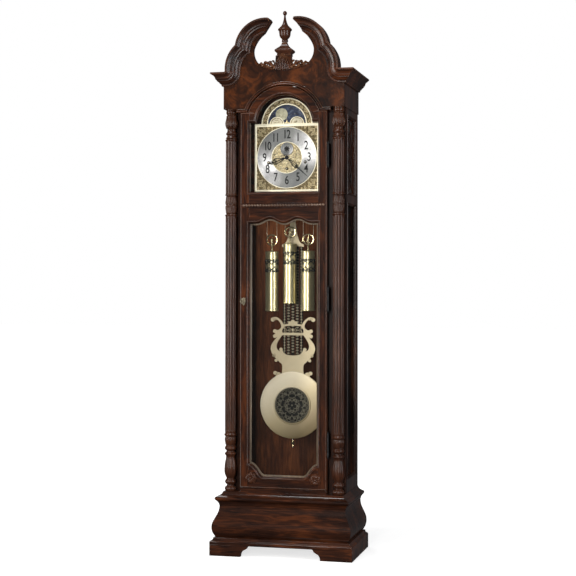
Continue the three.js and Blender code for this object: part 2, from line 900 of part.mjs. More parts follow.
function escapeWheel() {
  const teeth = Array.from({ length: ESCAPE.teeth }, (_, i) => {
    const at = (r, share) => arc(0, ESCAPE.z, r, (360 * (i + share)) / ESCAPE.teeth, 0, 1)[0];
    return [at(ESCAPE.r, 0), at(ESCAPE.r - 3, 0.25)];
  }).flat();
  return join(
    plate(teeth, ESCAPE.y, ESCAPE.y + 1.5),
    disc(0, ESCAPE.z, 1.5, 6.5, PLATE.back - GAP, 8),
  );
}
part("escape_wheel", escapeWheel(), BRASS);

// Pallets, arbor and crutch, whose pin drives the pendulum.
part(
  "anchor",
  join(
    plate(
      bothSides([
        [0, PIVOT_Z - 4],
        [14, PIVOT_Z + 4],
        [22, PIVOT_Z + 20],
        [19, PIVOT_Z + 21],
        [12, PIVOT_Z + 8],
        [3, PIVOT_Z + 4],
      ]),
      ESCAPE.y,
      ESCAPE.y + 1.5,
    ),
    disc(0, PIVOT_Z, 2.4, ESCAPE.y, 29, 8),
    plate(
      [
        [-3, CRUTCH_PIN_Z - 5],
        [3, CRUTCH_PIN_Z - 5],
        [4, PIVOT_Z],
        [0, PIVOT_Z + 4],
        [-4, PIVOT_Z],
      ],
      26,
      28,
    ),
    disc(0, CRUTCH_PIN_Z, 1.8, 27, PENDULUM_Y + 5, 8),
  ),
  STEEL,
);

// Tuned rods hang from an iron block on the back panel.
function chimeRods() {
  const count = 9;
  const rods = Array.from({ length: count }, (_, i) =>
    rod((i - (count - 1) / 2) * 16, 160, 2.2, 1465 + 9 * i, 1642, 6),
  );
  return join(box(-76, 76, 150, 176 - GAP, 1640, 1668), ...rods);
}
part("chime_rods", chimeRods(), STEEL);

// One hammer of the row, hung on its bracket and resting just short of its rod.
part(
  "strike_hammer",
  cut(
    join(
      rod(0, 0, 6, 38, 52, 10).rotateY(Math.PI / 2).translate(0, 60, 1700),
      box(45, 51, 60, 142, 1696, 1700),
      box(45, 51, 138, 142, 1622, 1700),
      disc(48, 1620, 8, 134, 155, 10),
    ),
    rod(0, 0, 2.5, 30, 60, 8).rotateY(Math.PI / 2).translate(0, 60, 1700),
  ),
  STEEL,
);

// ---------------------------------------------------------------- pendulum
// Half outline of the flat pendulum, from its hook down: stick, grid head, lyre, neck and tail.
const LYRE_HALF = [
  [5, PIVOT_Z - 1],
  [5, 1700],
  [12, 1690],
  [12, 1405],
  [18, 1375],
  [33, 1348],
  [49, 1336],
  [49, 1000],
  [62, 1016],
  [80, 1020],
  [96, 1012],
  [90, 999],
  [70, 1004],
  [58, 990],
  [54, 968],
  [74, 958],
  [88, 960],
  [82, 946],
  [88, 931],
  [70, 934],
  [84, 912],
  [99, 880],
  [92, 858],
  [70, 842],
  [76, 828],
  [62, 824],
  [50, 806],
  [58, 780],
  [84, 776],
  [84, 764],
  [50, 752],
  [50, 700],
  [6, 660],
  [6, 520],
  [2.5, 512],
  [2.5, 446],
];

function pendulumRod() {
  const slot = (x0, x1, z0, z1) => box(x0, x1, PENDULUM_Y - 5, PENDULUM_Y + 5, z0, z1);
  const gridSlots = [-36, -12, 12, 36].flatMap((x) => [
    slot(x - 7, x + 7, 1024, 1320),
    slot(x - 7, x + 7, 856, 932),
  ]);
  return cut(
    plate(bothSides(LYRE_HALF), PENDULUM_Y - 1.5, PENDULUM_Y + 1.5),
    ...gridSlots,
    slot(-30, 30, 958, 976),
    disc(0, CRUTCH_PIN_Z, 3, PENDULUM_Y - 5, PENDULUM_Y + 5, 8),
  );
}
part("pendulum_rod", pendulumRod(), SATIN_BRASS);

part(
  "pendulum_bob",
  turnedAlongY(
    [
      [0, PENDULUM_Y - 1.8],
      [BOB.r - 1, PENDULUM_Y - 1.8],
      [BOB.r, PENDULUM_Y - 4],
      [BOB.r - 5, PENDULUM_Y - 7],
      [120, PENDULUM_Y - 11],
      [86, PENDULUM_Y - 14],
      [82, PENDULUM_Y - 17],
      [0, PENDULUM_Y - 17],
    ],
    0,
    BOB.z,
    40,
  ),
  SATIN_BRASS,
);

part(
  "rating_nut",
  turned(
    [
      [3.4, 454],
      [5, 454],
      [7.5, 461],
      [7.5, 468],
      [5, 472],
      [4.6, 482],
      [3.4, 482],
    ],
    0,
    PENDULUM_Y,
    12,
  ),
  BRASS,
);

// ---------------------------------------------------------------- weights, pulleys and cables
// A weight: filled brass cylinder, with the stirrup and axle that its pulley turns on.
function weight(x, top) {
  const y = WEIGHT.y;
  const axis = top + PULLEY_UP;
  const bottom = top - WEIGHT.length;
  return join(
    turned(
      [
        [0, bottom],
        [WEIGHT.r - 2, bottom],
        [WEIGHT.r, bottom + 2],
        [WEIGHT.r, top - 2],
        [WEIGHT.r - 2, top],
        [0, top],
      ],
      x,
      y,
      24,
    ),
    rod(x, y, 3, top - 1, axis - 28, 8),
    box(x - 4, x + 4, y - 7, y + 7, axis - 31, axis - 28),
    box(x - 4, x + 4, y - 7, y - 5.5, axis - 31, axis + 5),
    box(x - 4, x + 4, y + 5.5, y + 7, axis - 31, axis + 5),
    disc(x, axis, 2, y - 6, y + 6, 8),
  );
}

const pulley = (x, z) =>
  turnedAlongY(
    [
      [2.6, -4],
      [25.5, -4],
      [25.5, -2.5],
      [ROPE_R - CABLE_R - GAP, -1],
      [ROPE_R - CABLE_R - GAP, 1],
      [25.5, 2.5],
      [25.5, 4],
      [2.6, 4],
    ].map(([r, y]) => [r, y + WEIGHT.y]),
    x,
    z,
    20,
  );

// The cable's two falls and its turn under the pulley, as a tube of six sides.
function cable(x, z) {
  const top = SEAT_TOP + 3;
  const section = arc(0, 0, CABLE_R, 0, 300, 5);
  const fall = (angle, height) => (u, v) => {
    const a = THREE.MathUtils.degToRad(angle);
    const r = ROPE_R + u;
    return [x + r * Math.cos(a), WEIGHT.y + v, height ?? z + r * Math.sin(a)];
  };
  const turn = Array.from({ length: 11 }, (_, i) => fall(180 + 18 * i));
  return run(section, [fall(180, top), ...turn, fall(360, top)]);
}

for (const [train, [x]] of Object.entries(WINDING)) {
  const top = WEIGHT.top[train];
  part(`${train}_weight`, weight(x, top), BRASS);
  part(`${train}_pulley`, pulley(x, top + PULLEY_UP), BRASS);
  part(`${train}_cable`, cable(x, top + PULLEY_UP), STEEL);
}

export default group;
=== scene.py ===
"""A longcase clock in a pale studio.

Lengths are in millimetres, in the CAD's own frame, until a piece is made from them.
"""

import json
import math
import random

import bmesh
import bpy
import numpy as np
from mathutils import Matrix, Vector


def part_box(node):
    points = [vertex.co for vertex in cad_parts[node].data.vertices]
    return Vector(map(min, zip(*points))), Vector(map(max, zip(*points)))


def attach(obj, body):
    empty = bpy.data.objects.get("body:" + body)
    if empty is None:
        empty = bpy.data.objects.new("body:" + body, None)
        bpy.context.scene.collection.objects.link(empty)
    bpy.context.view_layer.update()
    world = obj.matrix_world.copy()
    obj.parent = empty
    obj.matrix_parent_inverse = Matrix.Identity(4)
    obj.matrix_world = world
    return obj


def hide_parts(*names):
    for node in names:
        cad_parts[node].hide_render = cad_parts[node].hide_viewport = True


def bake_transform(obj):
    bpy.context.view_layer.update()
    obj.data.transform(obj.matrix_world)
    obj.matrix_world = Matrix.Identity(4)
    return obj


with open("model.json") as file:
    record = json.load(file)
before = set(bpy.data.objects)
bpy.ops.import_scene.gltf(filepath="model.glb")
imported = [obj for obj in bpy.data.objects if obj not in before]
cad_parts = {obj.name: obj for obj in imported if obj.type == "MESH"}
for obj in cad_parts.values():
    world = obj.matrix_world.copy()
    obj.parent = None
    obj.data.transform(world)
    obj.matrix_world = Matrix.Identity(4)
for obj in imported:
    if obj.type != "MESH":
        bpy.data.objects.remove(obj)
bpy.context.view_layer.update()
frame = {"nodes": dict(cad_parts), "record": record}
MM = 0.001
GAP = 0.3
rng = random.Random(7)


# ---------------------------------------------------------------- geometry: (points, faces) pairs
def mm_box(node):
    """A CAD node's lowest and highest corners, in millimetres."""
    low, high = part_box(node)
    return np.array(low) / MM, np.array(high) / MM


def merged(*parts):
    points = []
    faces = []
    for part_points, part_faces in parts:
        start = len(points)
        points += [tuple(p) for p in part_points]
        faces += [tuple(i + start for i in face) for face in part_faces]
    return points, faces


def moved(part, shift=(0, 0, 0), turn=0.0, about="y"):
    """A copy, turned clockwise as seen from the front (about "y"), or about "x" or "z", then shifted."""
    points, faces = part
    p = np.array(points, float)
    c, s = math.cos(turn), math.sin(turn)
    matrix = {
        "x": [[1, 0, 0], [0, c, -s], [0, s, c]],
        "y": [[c, 0, s], [0, 1, 0], [-s, 0, c]],
        "z": [[c, -s, 0], [s, c, 0], [0, 0, 1]],
    }[about]
    return p @ np.array(matrix).T + np.array(shift, float), faces


def mirror(part):
    points, faces = part
    return np.array(points, float) * (-1, 1, 1), [tuple(reversed(face)) for face in faces]


def both(part):
    """A part with its mirror image across X = 0."""
    return merged(part, mirror(part))


def symmetric(half):
    """A whole outline in X and Z from its right half."""
    return [*half, *[(-x, z) for x, z in reversed(half) if x]]


def from_top(cx, cz, r, degrees):
    """The point at a distance from a centre in X and Z, at an angle clockwise from straight up."""
    a = math.radians(degrees)
    return cx + r * math.sin(a), cz + r * math.cos(a)


def block(x0, x1, y0, y1, z0, z1):
    points = [(x, y, z) for x in (x0, x1) for y in (y0, y1) for z in (z0, z1)]
    faces = [(0, 1, 3, 2), (4, 6, 7, 5), (0, 4, 5, 1), (2, 3, 7, 6), (0, 2, 6, 4), (1, 5, 7, 3)]
    return points, faces


def arc(cx, cz, r, start, end, steps=24):
    """Points on an arc in X and Z, angles in degrees, anticlockwise from +X."""
    angles = np.radians(np.linspace(start, end, steps + 1))
    return [(cx + r * math.cos(a), cz + r * math.sin(a)) for a in angles]


def smooth_line(points, per_span):
    """A Catmull-Rom curve through the points."""
    p = np.array(points, float)
    last = len(p) - 1
    result = []
    for i in range(last):
        a, b, c, d = (p[min(max(i + k, 0), last)] for k in (-1, 0, 1, 2))
        for t in np.arange(per_span) / per_span:
            cubic = 2 * b + (c - a) * t + (2 * a - 5 * b + 4 * c - d) * t**2
            result.append(tuple((cubic + (3 * b - a - 3 * c + d) * t**3) / 2))
    return [*result, tuple(p[-1])]


def skin(rings, closed_ring=True, closed_run=False):
    """Faces between rings of equal length, with flat caps on an open run of closed rings."""
    n = len(rings[0])
    points = [tuple(p) for ring in rings for p in ring]
    faces = []
    runs = len(rings) if closed_run else len(rings) - 1
    for k in range(runs):
        a, b = k * n, (k + 1) % len(rings) * n
        for i in range(n if closed_ring else n - 1):
            j = (i + 1) % n
            faces.append((a + i, a + j, b + j, b + i))
    if closed_ring and not closed_run:
        faces.append(tuple(range(n)))
        faces.append(tuple(reversed(range(len(points) - n, len(points)))))
    return points, faces


def lathe(profile, steps, at, shape=None):
    """Turned about a vertical axis from (radius, height) pairs; a closed profile makes a ring.
    shape(angle, radius, height) may change the radius, for flutes and carving."""
    rings = []
    for r, h in profile:
        ring = []
        for k in range(steps):
            a = 2 * math.pi * k / steps
            radius = shape(a, r, h) if shape else r
            ring.append((at[0] + radius * math.cos(a), at[1] + radius * math.sin(a), at[2] + h))
        rings.append(ring)
    if profile[0] == profile[-1]:
        return skin(rings[:-1], closed_run=True)
    return skin(rings)


def lathe_y(profile, steps, at=(0, 0, 0), shape=None):
    """Turned about a front-to-back axis from (radius, forward) pairs."""
    return moved(lathe(profile, steps, (0, 0, 0), shape), at, math.pi / 2, "x")


def plate(outline, y0, y1):
    """A flat board from an outline in X and Z, between two planes."""
    return skin([[(x, y, z) for x, z in outline] for y in (y0, y1)])


def mitres(path, closed):
    """At each point of a path in X and Z, the offset that moves the line one unit to its left."""
    p = np.array(path, float)
    step = np.roll(p, -1, 0) - p if closed else np.diff(p, axis=0)
    step /= np.linalg.norm(step, axis=1)[:, None]
    before = np.roll(step, 1, 0) if closed else np.vstack([step[:1], step])
    after = step if closed else np.vstack([step, step[-1:]])
    left = [np.stack([-s[:, 1], s[:, 0]], 1) for s in (before, after)]
    return (left[0] + left[1]) / (1 + (left[0] * left[1]).sum(1))[:, None]


def moulding(profile, path, face_y, closed=False):
    """A profile of (left of the path, out towards the front) pairs, run along a path in X and Z."""
    offsets = mitres(path, closed)
    rings = []
    for (x, z), (dx, dz) in zip(path, offsets):
        rings.append([(x + dx * t, face_y - out, z + dz * t) for t, out in profile])
    return skin(rings, closed_run=closed)


def tube(path, radius, sides, closed=False, flat=1.0):
    """A round bar along points in space; radius may be a list, and flat thins it towards the front."""
    p = np.array(path, float)
    n = len(p)
    radii = radius if hasattr(radius, "__len__") else [radius] * n
    ahead = np.roll(p, -1, 0) if closed else np.vstack([p[1:], p[-1:] * 2 - p[-2:-1]])
    behind = np.roll(p, 1, 0) if closed else np.vstack([p[:1] * 2 - p[1:2], p[:-1]])
    along = ahead - behind
    along /= np.linalg.norm(along, axis=1)[:, None]
    guide = np.array([0.0, 1.0, 0.0]) if abs(along[:, 1]).max() < 0.95 else np.array([0.0, 0.0, 1.0])
    side = np.cross(along, guide)
    side /= np.linalg.norm(side, axis=1)[:, None]
    up = np.cross(side, along)
    rings = []
    for k in range(n):
        angles = [2 * math.pi * i / sides for i in range(sides)]
        ring = [p[k] + radii[k] * (math.cos(a) * side[k] + flat * math.sin(a) * up[k]) for a in angles]
        rings.append(ring)
    return skin(rings, closed_run=closed)


def ball(at, radii, steps):
    rings = []
    for k in range(1, steps):
        a = math.pi * k / steps
        ring = [(math.sin(a) * math.cos(b), math.sin(a) * math.sin(b), math.cos(a))
                for b in np.arange(2 * steps) * math.pi / steps]
        rings.append(np.array(ring) * radii + at)
    return skin(rings)


def flat_path(path, y):
    return [(x, y, z) for x, z in path]


def spiral(cx, cz, r0, r1, start, turns, steps=26):
    """A scroll's line in X and Z, from radius r0 to r1, starting at an angle in degrees."""
    line = []
    for t in np.linspace(0, 1, steps):
        a = math.radians(start + 360 * turns * t)
        r = r0 + (r1 - r0) * t**0.8
        line.append((cx + r * math.cos(a), cz + r * math.sin(a)))
    return line


# ---------------------------------------------------------------- pieces
def add_piece(name, part, look, body="case", replaces=(), crease=32, bevel=0.0):
    """Makes an object from a part in millimetres, finished with a look and riding on a CAD body."""
    points, faces = part
    mesh = bpy.data.meshes.new(name)
    mesh.from_pydata([tuple(float(c) * MM for c in p) for p in points], [], faces)
    clean = bmesh.new()
    clean.from_mesh(mesh)
    bmesh.ops.remove_doubles(clean, verts=clean.verts, dist=2e-6)
    bmesh.ops.recalc_face_normals(clean, faces=clean.faces)
    clean.to_mesh(mesh)
    clean.free()
    obj = bpy.data.objects.new(name, mesh)
    bpy.context.scene.collection.objects.link(obj)
    return dress(obj, look, body, replaces, crease=crease, bevel=bevel)


def dress(obj, look, body=None, replaces=(), *, crease, bevel):
    """Gives an object its look, its smooth and sharp edges, its body and the CAD nodes it replaces."""
    material_used, slot = look
    obj.data.materials.clear()
    obj.data.materials.append(material_used)
    if crease:
        obj.data.shade_smooth()
        obj.data.set_sharp_from_angle(angle=math.radians(crease))
    if bevel:
        edge = obj.modifiers.new("edges", "BEVEL")
        edge.width = bevel * MM
        edge.segments = 2
        edge.limit_method = "ANGLE"
        edge.angle_limit = math.radians(38)
        edge.harden_normals = False
    if body:
        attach(obj, body)
    if replaces:
        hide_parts(*replaces)
    return obj


# ---------------------------------------------------------------- materials
class Nodes:
    """A material's node tree, with short calls for the nodes used here."""

    def __init__(self, name, **sockets):
        self.material = bpy.data.materials.new(name)
        self.material.use_nodes = True
        self.tree = self.material.node_tree
        self.shader = self.tree.nodes["Principled BSDF"]
        for key, value in sockets.items():
            self.shader.inputs[key.replace("_", " ")].default_value = value
        self.where = self.tree.nodes.new("ShaderNodeTexCoord").outputs["Object"]

    def node(self, kind, inputs=(), **settings):
        made = self.tree.nodes.new(kind)
        for key, value in settings.items():
            setattr(made, key, value)
        for key, value in dict(inputs).items():
            if isinstance(value, bpy.types.NodeSocket):
                self.tree.links.new(value, made.inputs[key])
            else:
                made.inputs[key].default_value = value
        return made

    def stretched(self, scale):
        return self.node("ShaderNodeMapping", {"Vector": self.where, "Scale": scale}).outputs["Vector"]

    def noise(self, vector, scale, detail=4.0, distortion=0.0, roughness=0.5):
        inputs = {"Vector": vector, "Scale": scale, "Detail": detail}
        inputs |= {"Distortion": distortion, "Roughness": roughness}
        return self.node("ShaderNodeTexNoise", inputs).outputs["Fac"]

    def ramp(self, value, stops):
        made = self.node("ShaderNodeValToRGB", {"Fac": value})
        elements = made.color_ramp.elements
        while len(elements) < len(stops):
            elements.new(0.5)
        for element, (place, colour) in zip(elements, stops):
            element.position = place
            element.color = colour if len(colour) == 4 else (*colour, 1)
        return made.outputs["Color"]

    def grey(self, value, low, high, start, end):
        """A number that runs from low to high as value runs from start to end."""
        inputs = {"Value": value, "From Min": start, "From Max": end, "To Min": low, "To Max": high}
        return self.node("ShaderNodeMapRange", inputs).outputs["Result"]

    def math(self, operation, a, b=0.0):
        return self.node("ShaderNodeMath", {0: a, 1: b}, operation=operation).outputs["Value"]

    def mix(self, share, a, b, how="MIX"):
        made = self.node("ShaderNodeMix", data_type="RGBA", blend_type=how)
        for key, value in ((0, share), (6, a), (7, b)):
            if isinstance(value, bpy.types.NodeSocket):
                self.tree.links.new(value, made.inputs[key])
            elif key:
                made.inputs[key].default_value = (*value, 1)
            else:
                made.inputs[key].default_value = value
        return made.outputs[2]

    def times(self, colour, factor):
        return self.mix(1.0, colour, factor, "MULTIPLY")

    def hollows(self, reach, ridges=False):
        """1 on open surface, falling towards 0 in hollows, or on sharp ridges, within a reach."""
        inputs = {"Distance": reach * MM}
        made = self.node("ShaderNodeAmbientOcclusion", inputs, samples=6, inside=ridges, only_local=True)
        return made.outputs["AO"]

    def place(self, axis):
        return self.node("ShaderNodeSeparateXYZ", {"Vector": self.where}).outputs[axis]

    def bump(self, height, strength, distance):
        inputs = {"Height": height, "Strength": strength, "Distance": distance}
        self.link(self.node("ShaderNodeBump", inputs).outputs["Normal"], "Normal")

    def link(self, output, socket):
        self.tree.links.new(output, self.shader.inputs[socket])


GRAIN = {"x": (1.0, 9.0, 9.0), "y": (9.0, 1.0, 9.0), "z": (9.0, 9.0, 1.0)}
DARK_CHERRY = ((0.0044, 0.0019, 0.0014), (0.0215, 0.0068, 0.0032), (0.0740, 0.0205, 0.0066))


def wood(name, along, tones=DARK_CHERRY, gloss=0.34, shade=1.0, carved=0.0, glow=None, coat=0.6, haze=0.1):
    """Stained and lacquered cherry: streaks along one axis, cloudy figure and fine dark pores.
    carved is how far a dark glazing with painted shade fills hollows, and how far wear with a painted
    highlight pales the ridges, half as far; glow, two heights in metres, is painted shade that darkens
    the wood below them; coat and haze are the lacquer's strength and dullness."""
    n = Nodes(name, Coat_Weight=coat, Coat_Roughness=haze, Coat_IOR=1.5, Specular_IOR_Level=0.04)
    grain = n.stretched(GRAIN[along])
    streaks = n.noise(grain, 9.0, 7.0, 0.9, 0.62)
    cloud = n.noise(n.stretched(tuple(0.4 + 0.1 * s for s in GRAIN[along])), 7.0, 3.0, 0.6)
    tones = [tuple(c * shade for c in tone) for tone in tones]
    colour = n.ramp(n.mix(0.42, streaks, cloud), list(zip((0.36, 0.5, 0.66), tones)))
    pores = n.noise(n.stretched(tuple(s * s * 1.4 for s in GRAIN[along])), 14.0, 2.0)
    colour = n.times(colour, n.grey(pores, 1.0, 0.55, 0.52, 0.72))
    # Painted shade: the wood is darkened below the glow heights, as if less light reached it there.
    if glow:
        risen = n.grey(n.place("Z"), 0.0, 1.0, *glow)
        colour = n.times(colour, n.ramp(risen, [(0.0, (0.42, 0.42, 0.45)), (1.0, (1, 1, 1))]))
    # Painted shade and highlight: hollows are darkened, partly as a dark glazing, and ridges are paled,
    # partly as wear.
    if carved:
        ridge = n.hollows(carved * 0.5, ridges=True)
        colour = n.mix(n.grey(ridge, 0.7, 0.0, 0.35, 0.8), colour, (0.160, 0.074, 0.036))
        glaze_and_shade = n.hollows(carved)
        colour = n.times(colour, n.grey(glaze_and_shade, 0.06, 1.0, 0.3, 0.88))
    n.link(colour, "Base Color")
    n.link(n.grey(cloud, gloss + 0.1, gloss, 0.3, 0.7), "Roughness")
    n.bump(n.mix(0.6, streaks, pores), 0.05, 0.0003)
    return n.material


def burl(name):
    """Burl veneer: swirling clouds of red-brown with small dark eyes, under a satin lacquer."""
    n = Nodes(name, Coat_Weight=0.28, Coat_Roughness=0.18, Specular_IOR_Level=0.04)
    swirl = n.noise(n.where, 13.0, 6.0, 2.4, 0.6)
    cloud = n.noise(n.where, 5.5, 2.0, 0.8)
    cell = n.node("ShaderNodeTexVoronoi", {"Vector": n.where, "Scale": 62.0, "Randomness": 1.0})
    eyes = n.grey(cell.outputs["Distance"], 0.4, 1.0, 0.05, 0.3)
    tones = ((0.0056, 0.0022, 0.0013), (0.0235, 0.0074, 0.0030), (0.0860, 0.0235, 0.0062))
    colour = n.ramp(n.mix(0.45, swirl, cloud), list(zip((0.36, 0.5, 0.66), tones)))
    n.link(n.mix(0.55, colour, n.times(colour, eyes)), "Base Color")
    n.link(n.grey(swirl, 0.42, 0.32, 0.3, 0.7), "Roughness")
    n.bump(swirl, 0.04, 0.0003)
    return n.material


def metal(name, colour, rough, stain=0.25, brushed=None, scale=60.0, solid=1.0, aged=0.0, painted_sheen=None):
    """Metal with slightly uneven polish; brushed gives the axis that its fine scratches follow, and
    aged how far dark tarnish reaches out of its hollows.  painted_sheen, a height and a reach, is painted
    light: the colour is paler towards the upper left as a painted highlight, and darker towards the
    lower right as painted shade."""
    n = Nodes(name, Metallic=solid)
    patch = n.noise(n.where, scale, 5.0, 0.4, 0.6)
    dull = tuple(c * (1 - stain) for c in colour)
    tone = n.ramp(patch, [(0.35, dull), (0.62, colour)])
    if aged:
        tone = n.times(tone, n.grey(n.hollows(aged), 0.08, 1.0, 0.3, 0.8))
    # Painted light: a painted highlight up and to the left, painted shade down and to the right.
    if painted_sheen:
        middle, reach = painted_sheen
        up = n.math("MULTIPLY", n.math("SUBTRACT", n.place("Z"), middle * MM), 0.75)
        lean = n.math("SUBTRACT", up, n.math("MULTIPLY", n.place("X"), 0.66))
        depth = n.grey(lean, 0.0, 1.0, -reach * MM, reach * MM)
        painted_shading = [(0.0, (0.24, 0.20, 0.13)), (0.5, (0.62, 0.57, 0.45)), (1.0, (1, 1, 1))]
        tone = n.times(tone, n.ramp(depth, painted_shading))
    n.link(tone, "Base Color")
    n.link(n.grey(patch, rough * 1.35, rough * 0.85, 0.3, 0.7), "Roughness")
    if brushed:
        lines = n.noise(n.stretched(tuple(1 if a == brushed else 55 for a in "xyz")), 26.0, 3.0)
        n.bump(lines, 0.08, 0.0001)
    return n.material


def relief_brass(name, bright, deep, scale):
    """Cast brass with darkened hollows between raised leafwork."""
    n = Nodes(name, Metallic=0.85)
    height = n.noise(n.where, scale, 3.0, 1.8, 0.55)
    n.link(n.ramp(height, [(0.42, deep), (0.56, bright)]), "Base Color")
    n.link(n.grey(height, 0.5, 0.26, 0.35, 0.65), "Roughness")
    n.bump(height, 0.9, 0.0012)
    return n.material


def silvered(name):
    """The chapter ring: silver brushed round the dial's centre, with a painted hourglass highlight in its
    colour.
    """
    n = Nodes(name, Metallic=0.55, Anisotropic=0.5)
    across, up = n.place("X"), n.math("SUBTRACT", n.place("Z"), DIAL_CENTRE * MM)
    turn = n.math("ARCTAN2", across, up)
    # Painted highlight: the colour is brightest between 2 and 3 and between 8 and 9 o'clock, darker between.
    wave = n.math("COSINE", n.math("MULTIPLY", n.math("SUBTRACT", turn, math.radians(67)), 2.0))
    radius = n.math("SQRT", n.math("ADD", n.math("MULTIPLY", across, across), n.math("MULTIPLY", up, up)))
    polar = {"X": n.math("MULTIPLY", radius, 90.0), "Y": n.math("MULTIPLY", turn, 0.35)}
    lines = n.noise(n.node("ShaderNodeCombineXYZ", polar).outputs["Vector"], 9.0, 5.0, 0.0, 0.7)
    painted_sheen = n.math("ADD", wave, n.grey(n.noise(n.where, 24.0, 3.0), -0.35, 0.35, 0.3, 0.7))
    tones = [(0.0, (0.095, 0.10, 0.10)), (0.45, (0.17, 0.172, 0.165)), (0.75, (0.36, 0.36, 0.36)),
             (1.0, (0.92, 0.92, 0.92))]
    colour = n.ramp(n.grey(painted_sheen, 0.0, 1.0, -1.2, 1.2), tones)
    n.link(n.times(colour, n.grey(lines, 0.82, 1.12, 0.3, 0.7)), "Base Color")
    n.link(n.grey(lines, 0.44, 0.3, 0.3, 0.7), "Roughness")
    n.bump(lines, 0.06, 0.0001)
    return n.material


def clear_glass(name):
    """Nearly clear glass with a trace of haze."""
    n = Nodes(name, Alpha=0.06, Roughness=0.02, Specular_IOR_Level=0.5)
    haze = n.noise(n.where, 3.0, 2.0)
    n.link(n.ramp(haze, [(0.3, (0.02, 0.025, 0.025)), (0.7, (0.03, 0.035, 0.035))]), "Base Color")
    return n.material


def paint(name, low, high, rough, scale=40.0, shine=0.5):
    """A painted or japanned surface, a little uneven in colour and gloss."""
    n = Nodes(name, Specular_IOR_Level=shine)
    patch = n.noise(n.where, scale, 4.0, 0.5)
    n.link(n.ramp(patch, [(0.35, low), (0.65, high)]), "Base Color")
    n.link(n.grey(patch, rough * 1.2, rough * 0.8, 0.3, 0.7), "Roughness")
    n.bump(patch, 0.05, 0.0002)
    return n.material


def night_sky(name):
    """Painted sky: deep blue, with paler drifting cloud."""
    n = Nodes(name, Roughness=0.5, Specular_IOR_Level=0.3)
    cloud = n.noise(n.where, 34.0, 5.0, 1.5, 0.6)
    tones = [(0.34, (0.006, 0.009, 0.022)), (0.52, (0.020, 0.030, 0.070)), (0.68, (0.13, 0.16, 0.23))]
    n.link(n.ramp(cloud, tones), "Base Color")
    n.bump(cloud, 0.04, 0.0002)
    return n.material


def fabric(name):
    """The dark speaker cloth behind the fretwork: a plain weave."""
    n = Nodes(name, Roughness=0.9)
    threads = {"Vector": n.where, "Scale": 420.0}
    waves = [n.node("ShaderNodeTexWave", threads, bands_direction=axis) for axis in ("Y", "Z")]
    weave = n.mix(0.5, waves[0].outputs["Fac"], waves[1].outputs["Fac"])
    n.link(n.ramp(weave, [(0.3, (0.008, 0.006, 0.005)), (0.7, (0.03, 0.022, 0.016))]), "Base Color")
    n.bump(weave, 0.4, 0.0003)
    return n.material


DIAL_CENTRE = (mm_box("chapter_ring")[0][2] + mm_box("chapter_ring")[1][2]) / 2
WOOD_Z = (wood("cherry_upright", "z"), "cherry_wood")
WOOD_X = (wood("cherry_level", "x"), "cherry_wood")
PLINTH_WOOD = (wood("cherry_plinth", "x", shade=1.35), "cherry_wood")
# MOULDED, CARVED and ROPE carry painted shade in their hollows and a painted highlight on their ridges.
MOULDED = (wood("cherry_moulded", "x", shade=1.15, carved=7.0, coat=0.45, haze=0.33), "cherry_wood")
CARVED_TONES = ((0.0120, 0.0046, 0.0028), (0.0250, 0.0088, 0.0046), (0.0480, 0.0165, 0.0078))
CARVED = (wood("cherry_carved", "z", CARVED_TONES, 0.3, shade=1.5, carved=7.0, coat=0.27, haze=0.16),
          "cherry_wood")
# Painted highlight: the rope's beads are a much paler copy of the cherry, standing for the light they catch.
ROPE_LIT_TONES = ((0.040, 0.023, 0.016), (0.110, 0.066, 0.044), (0.220, 0.145, 0.105))
ROPE = (wood("cherry_rope_lit", "x", ROPE_LIT_TONES, gloss=0.24, carved=2.5), "cherry_wood")
# Painted shade: a darker, duller copy of the upright cherry, for the corner posts and the side windows'
# beads.
SHADED_WOOD = (wood("cherry_shaded", "z", gloss=0.5, shade=0.75, coat=0.26, haze=0.25), "cherry_wood")
# Painted highlight: the glass stops are a paler tan than the cherry, standing for light caught along the
# opening's edge.
STOP_HIGHLIGHT_TONES = ((0.050, 0.036, 0.024), (0.100, 0.074, 0.050), (0.160, 0.120, 0.082))
LIT_STOP_WOOD = (wood("cherry_stop_lit", "z", STOP_HIGHLIGHT_TONES, coat=0.3, haze=0.3), "cherry_wood")
WARM_TONES = ((0.0210, 0.0068, 0.0032), (0.0620, 0.0190, 0.0066), (0.1300, 0.0430, 0.0135))
# Painted shade darkens the back board below 1.5 m, most of all below 1.05 m.
BACK_WOOD = (wood("cherry_back", "z", WARM_TONES, 0.45, 1.6, glow=(1.05, 1.5)), "case_board")
BOARD_WOOD = (wood("stained_board", "x", WARM_TONES, 0.5, 1.3), "case_board")
BURL = (burl("burl_veneer"), "burl_veneer")
BRASS = (metal("polished_brass", (0.88, 0.74, 0.42), 0.13), "polished_brass")
PALE_BRASS = (metal("satin_dial_brass", (0.93, 0.87, 0.66), 0.4, 0.06, solid=0.35), "polished_brass")
ANTIQUE = (metal("antique_brass", (0.60, 0.51, 0.33), 0.36, 0.12, scale=14.0, solid=0.5), "satin_brass")
BOB_CENTRE = (mm_box("pendulum_bob")[0][2] + mm_box("pendulum_bob")[1][2]) / 2
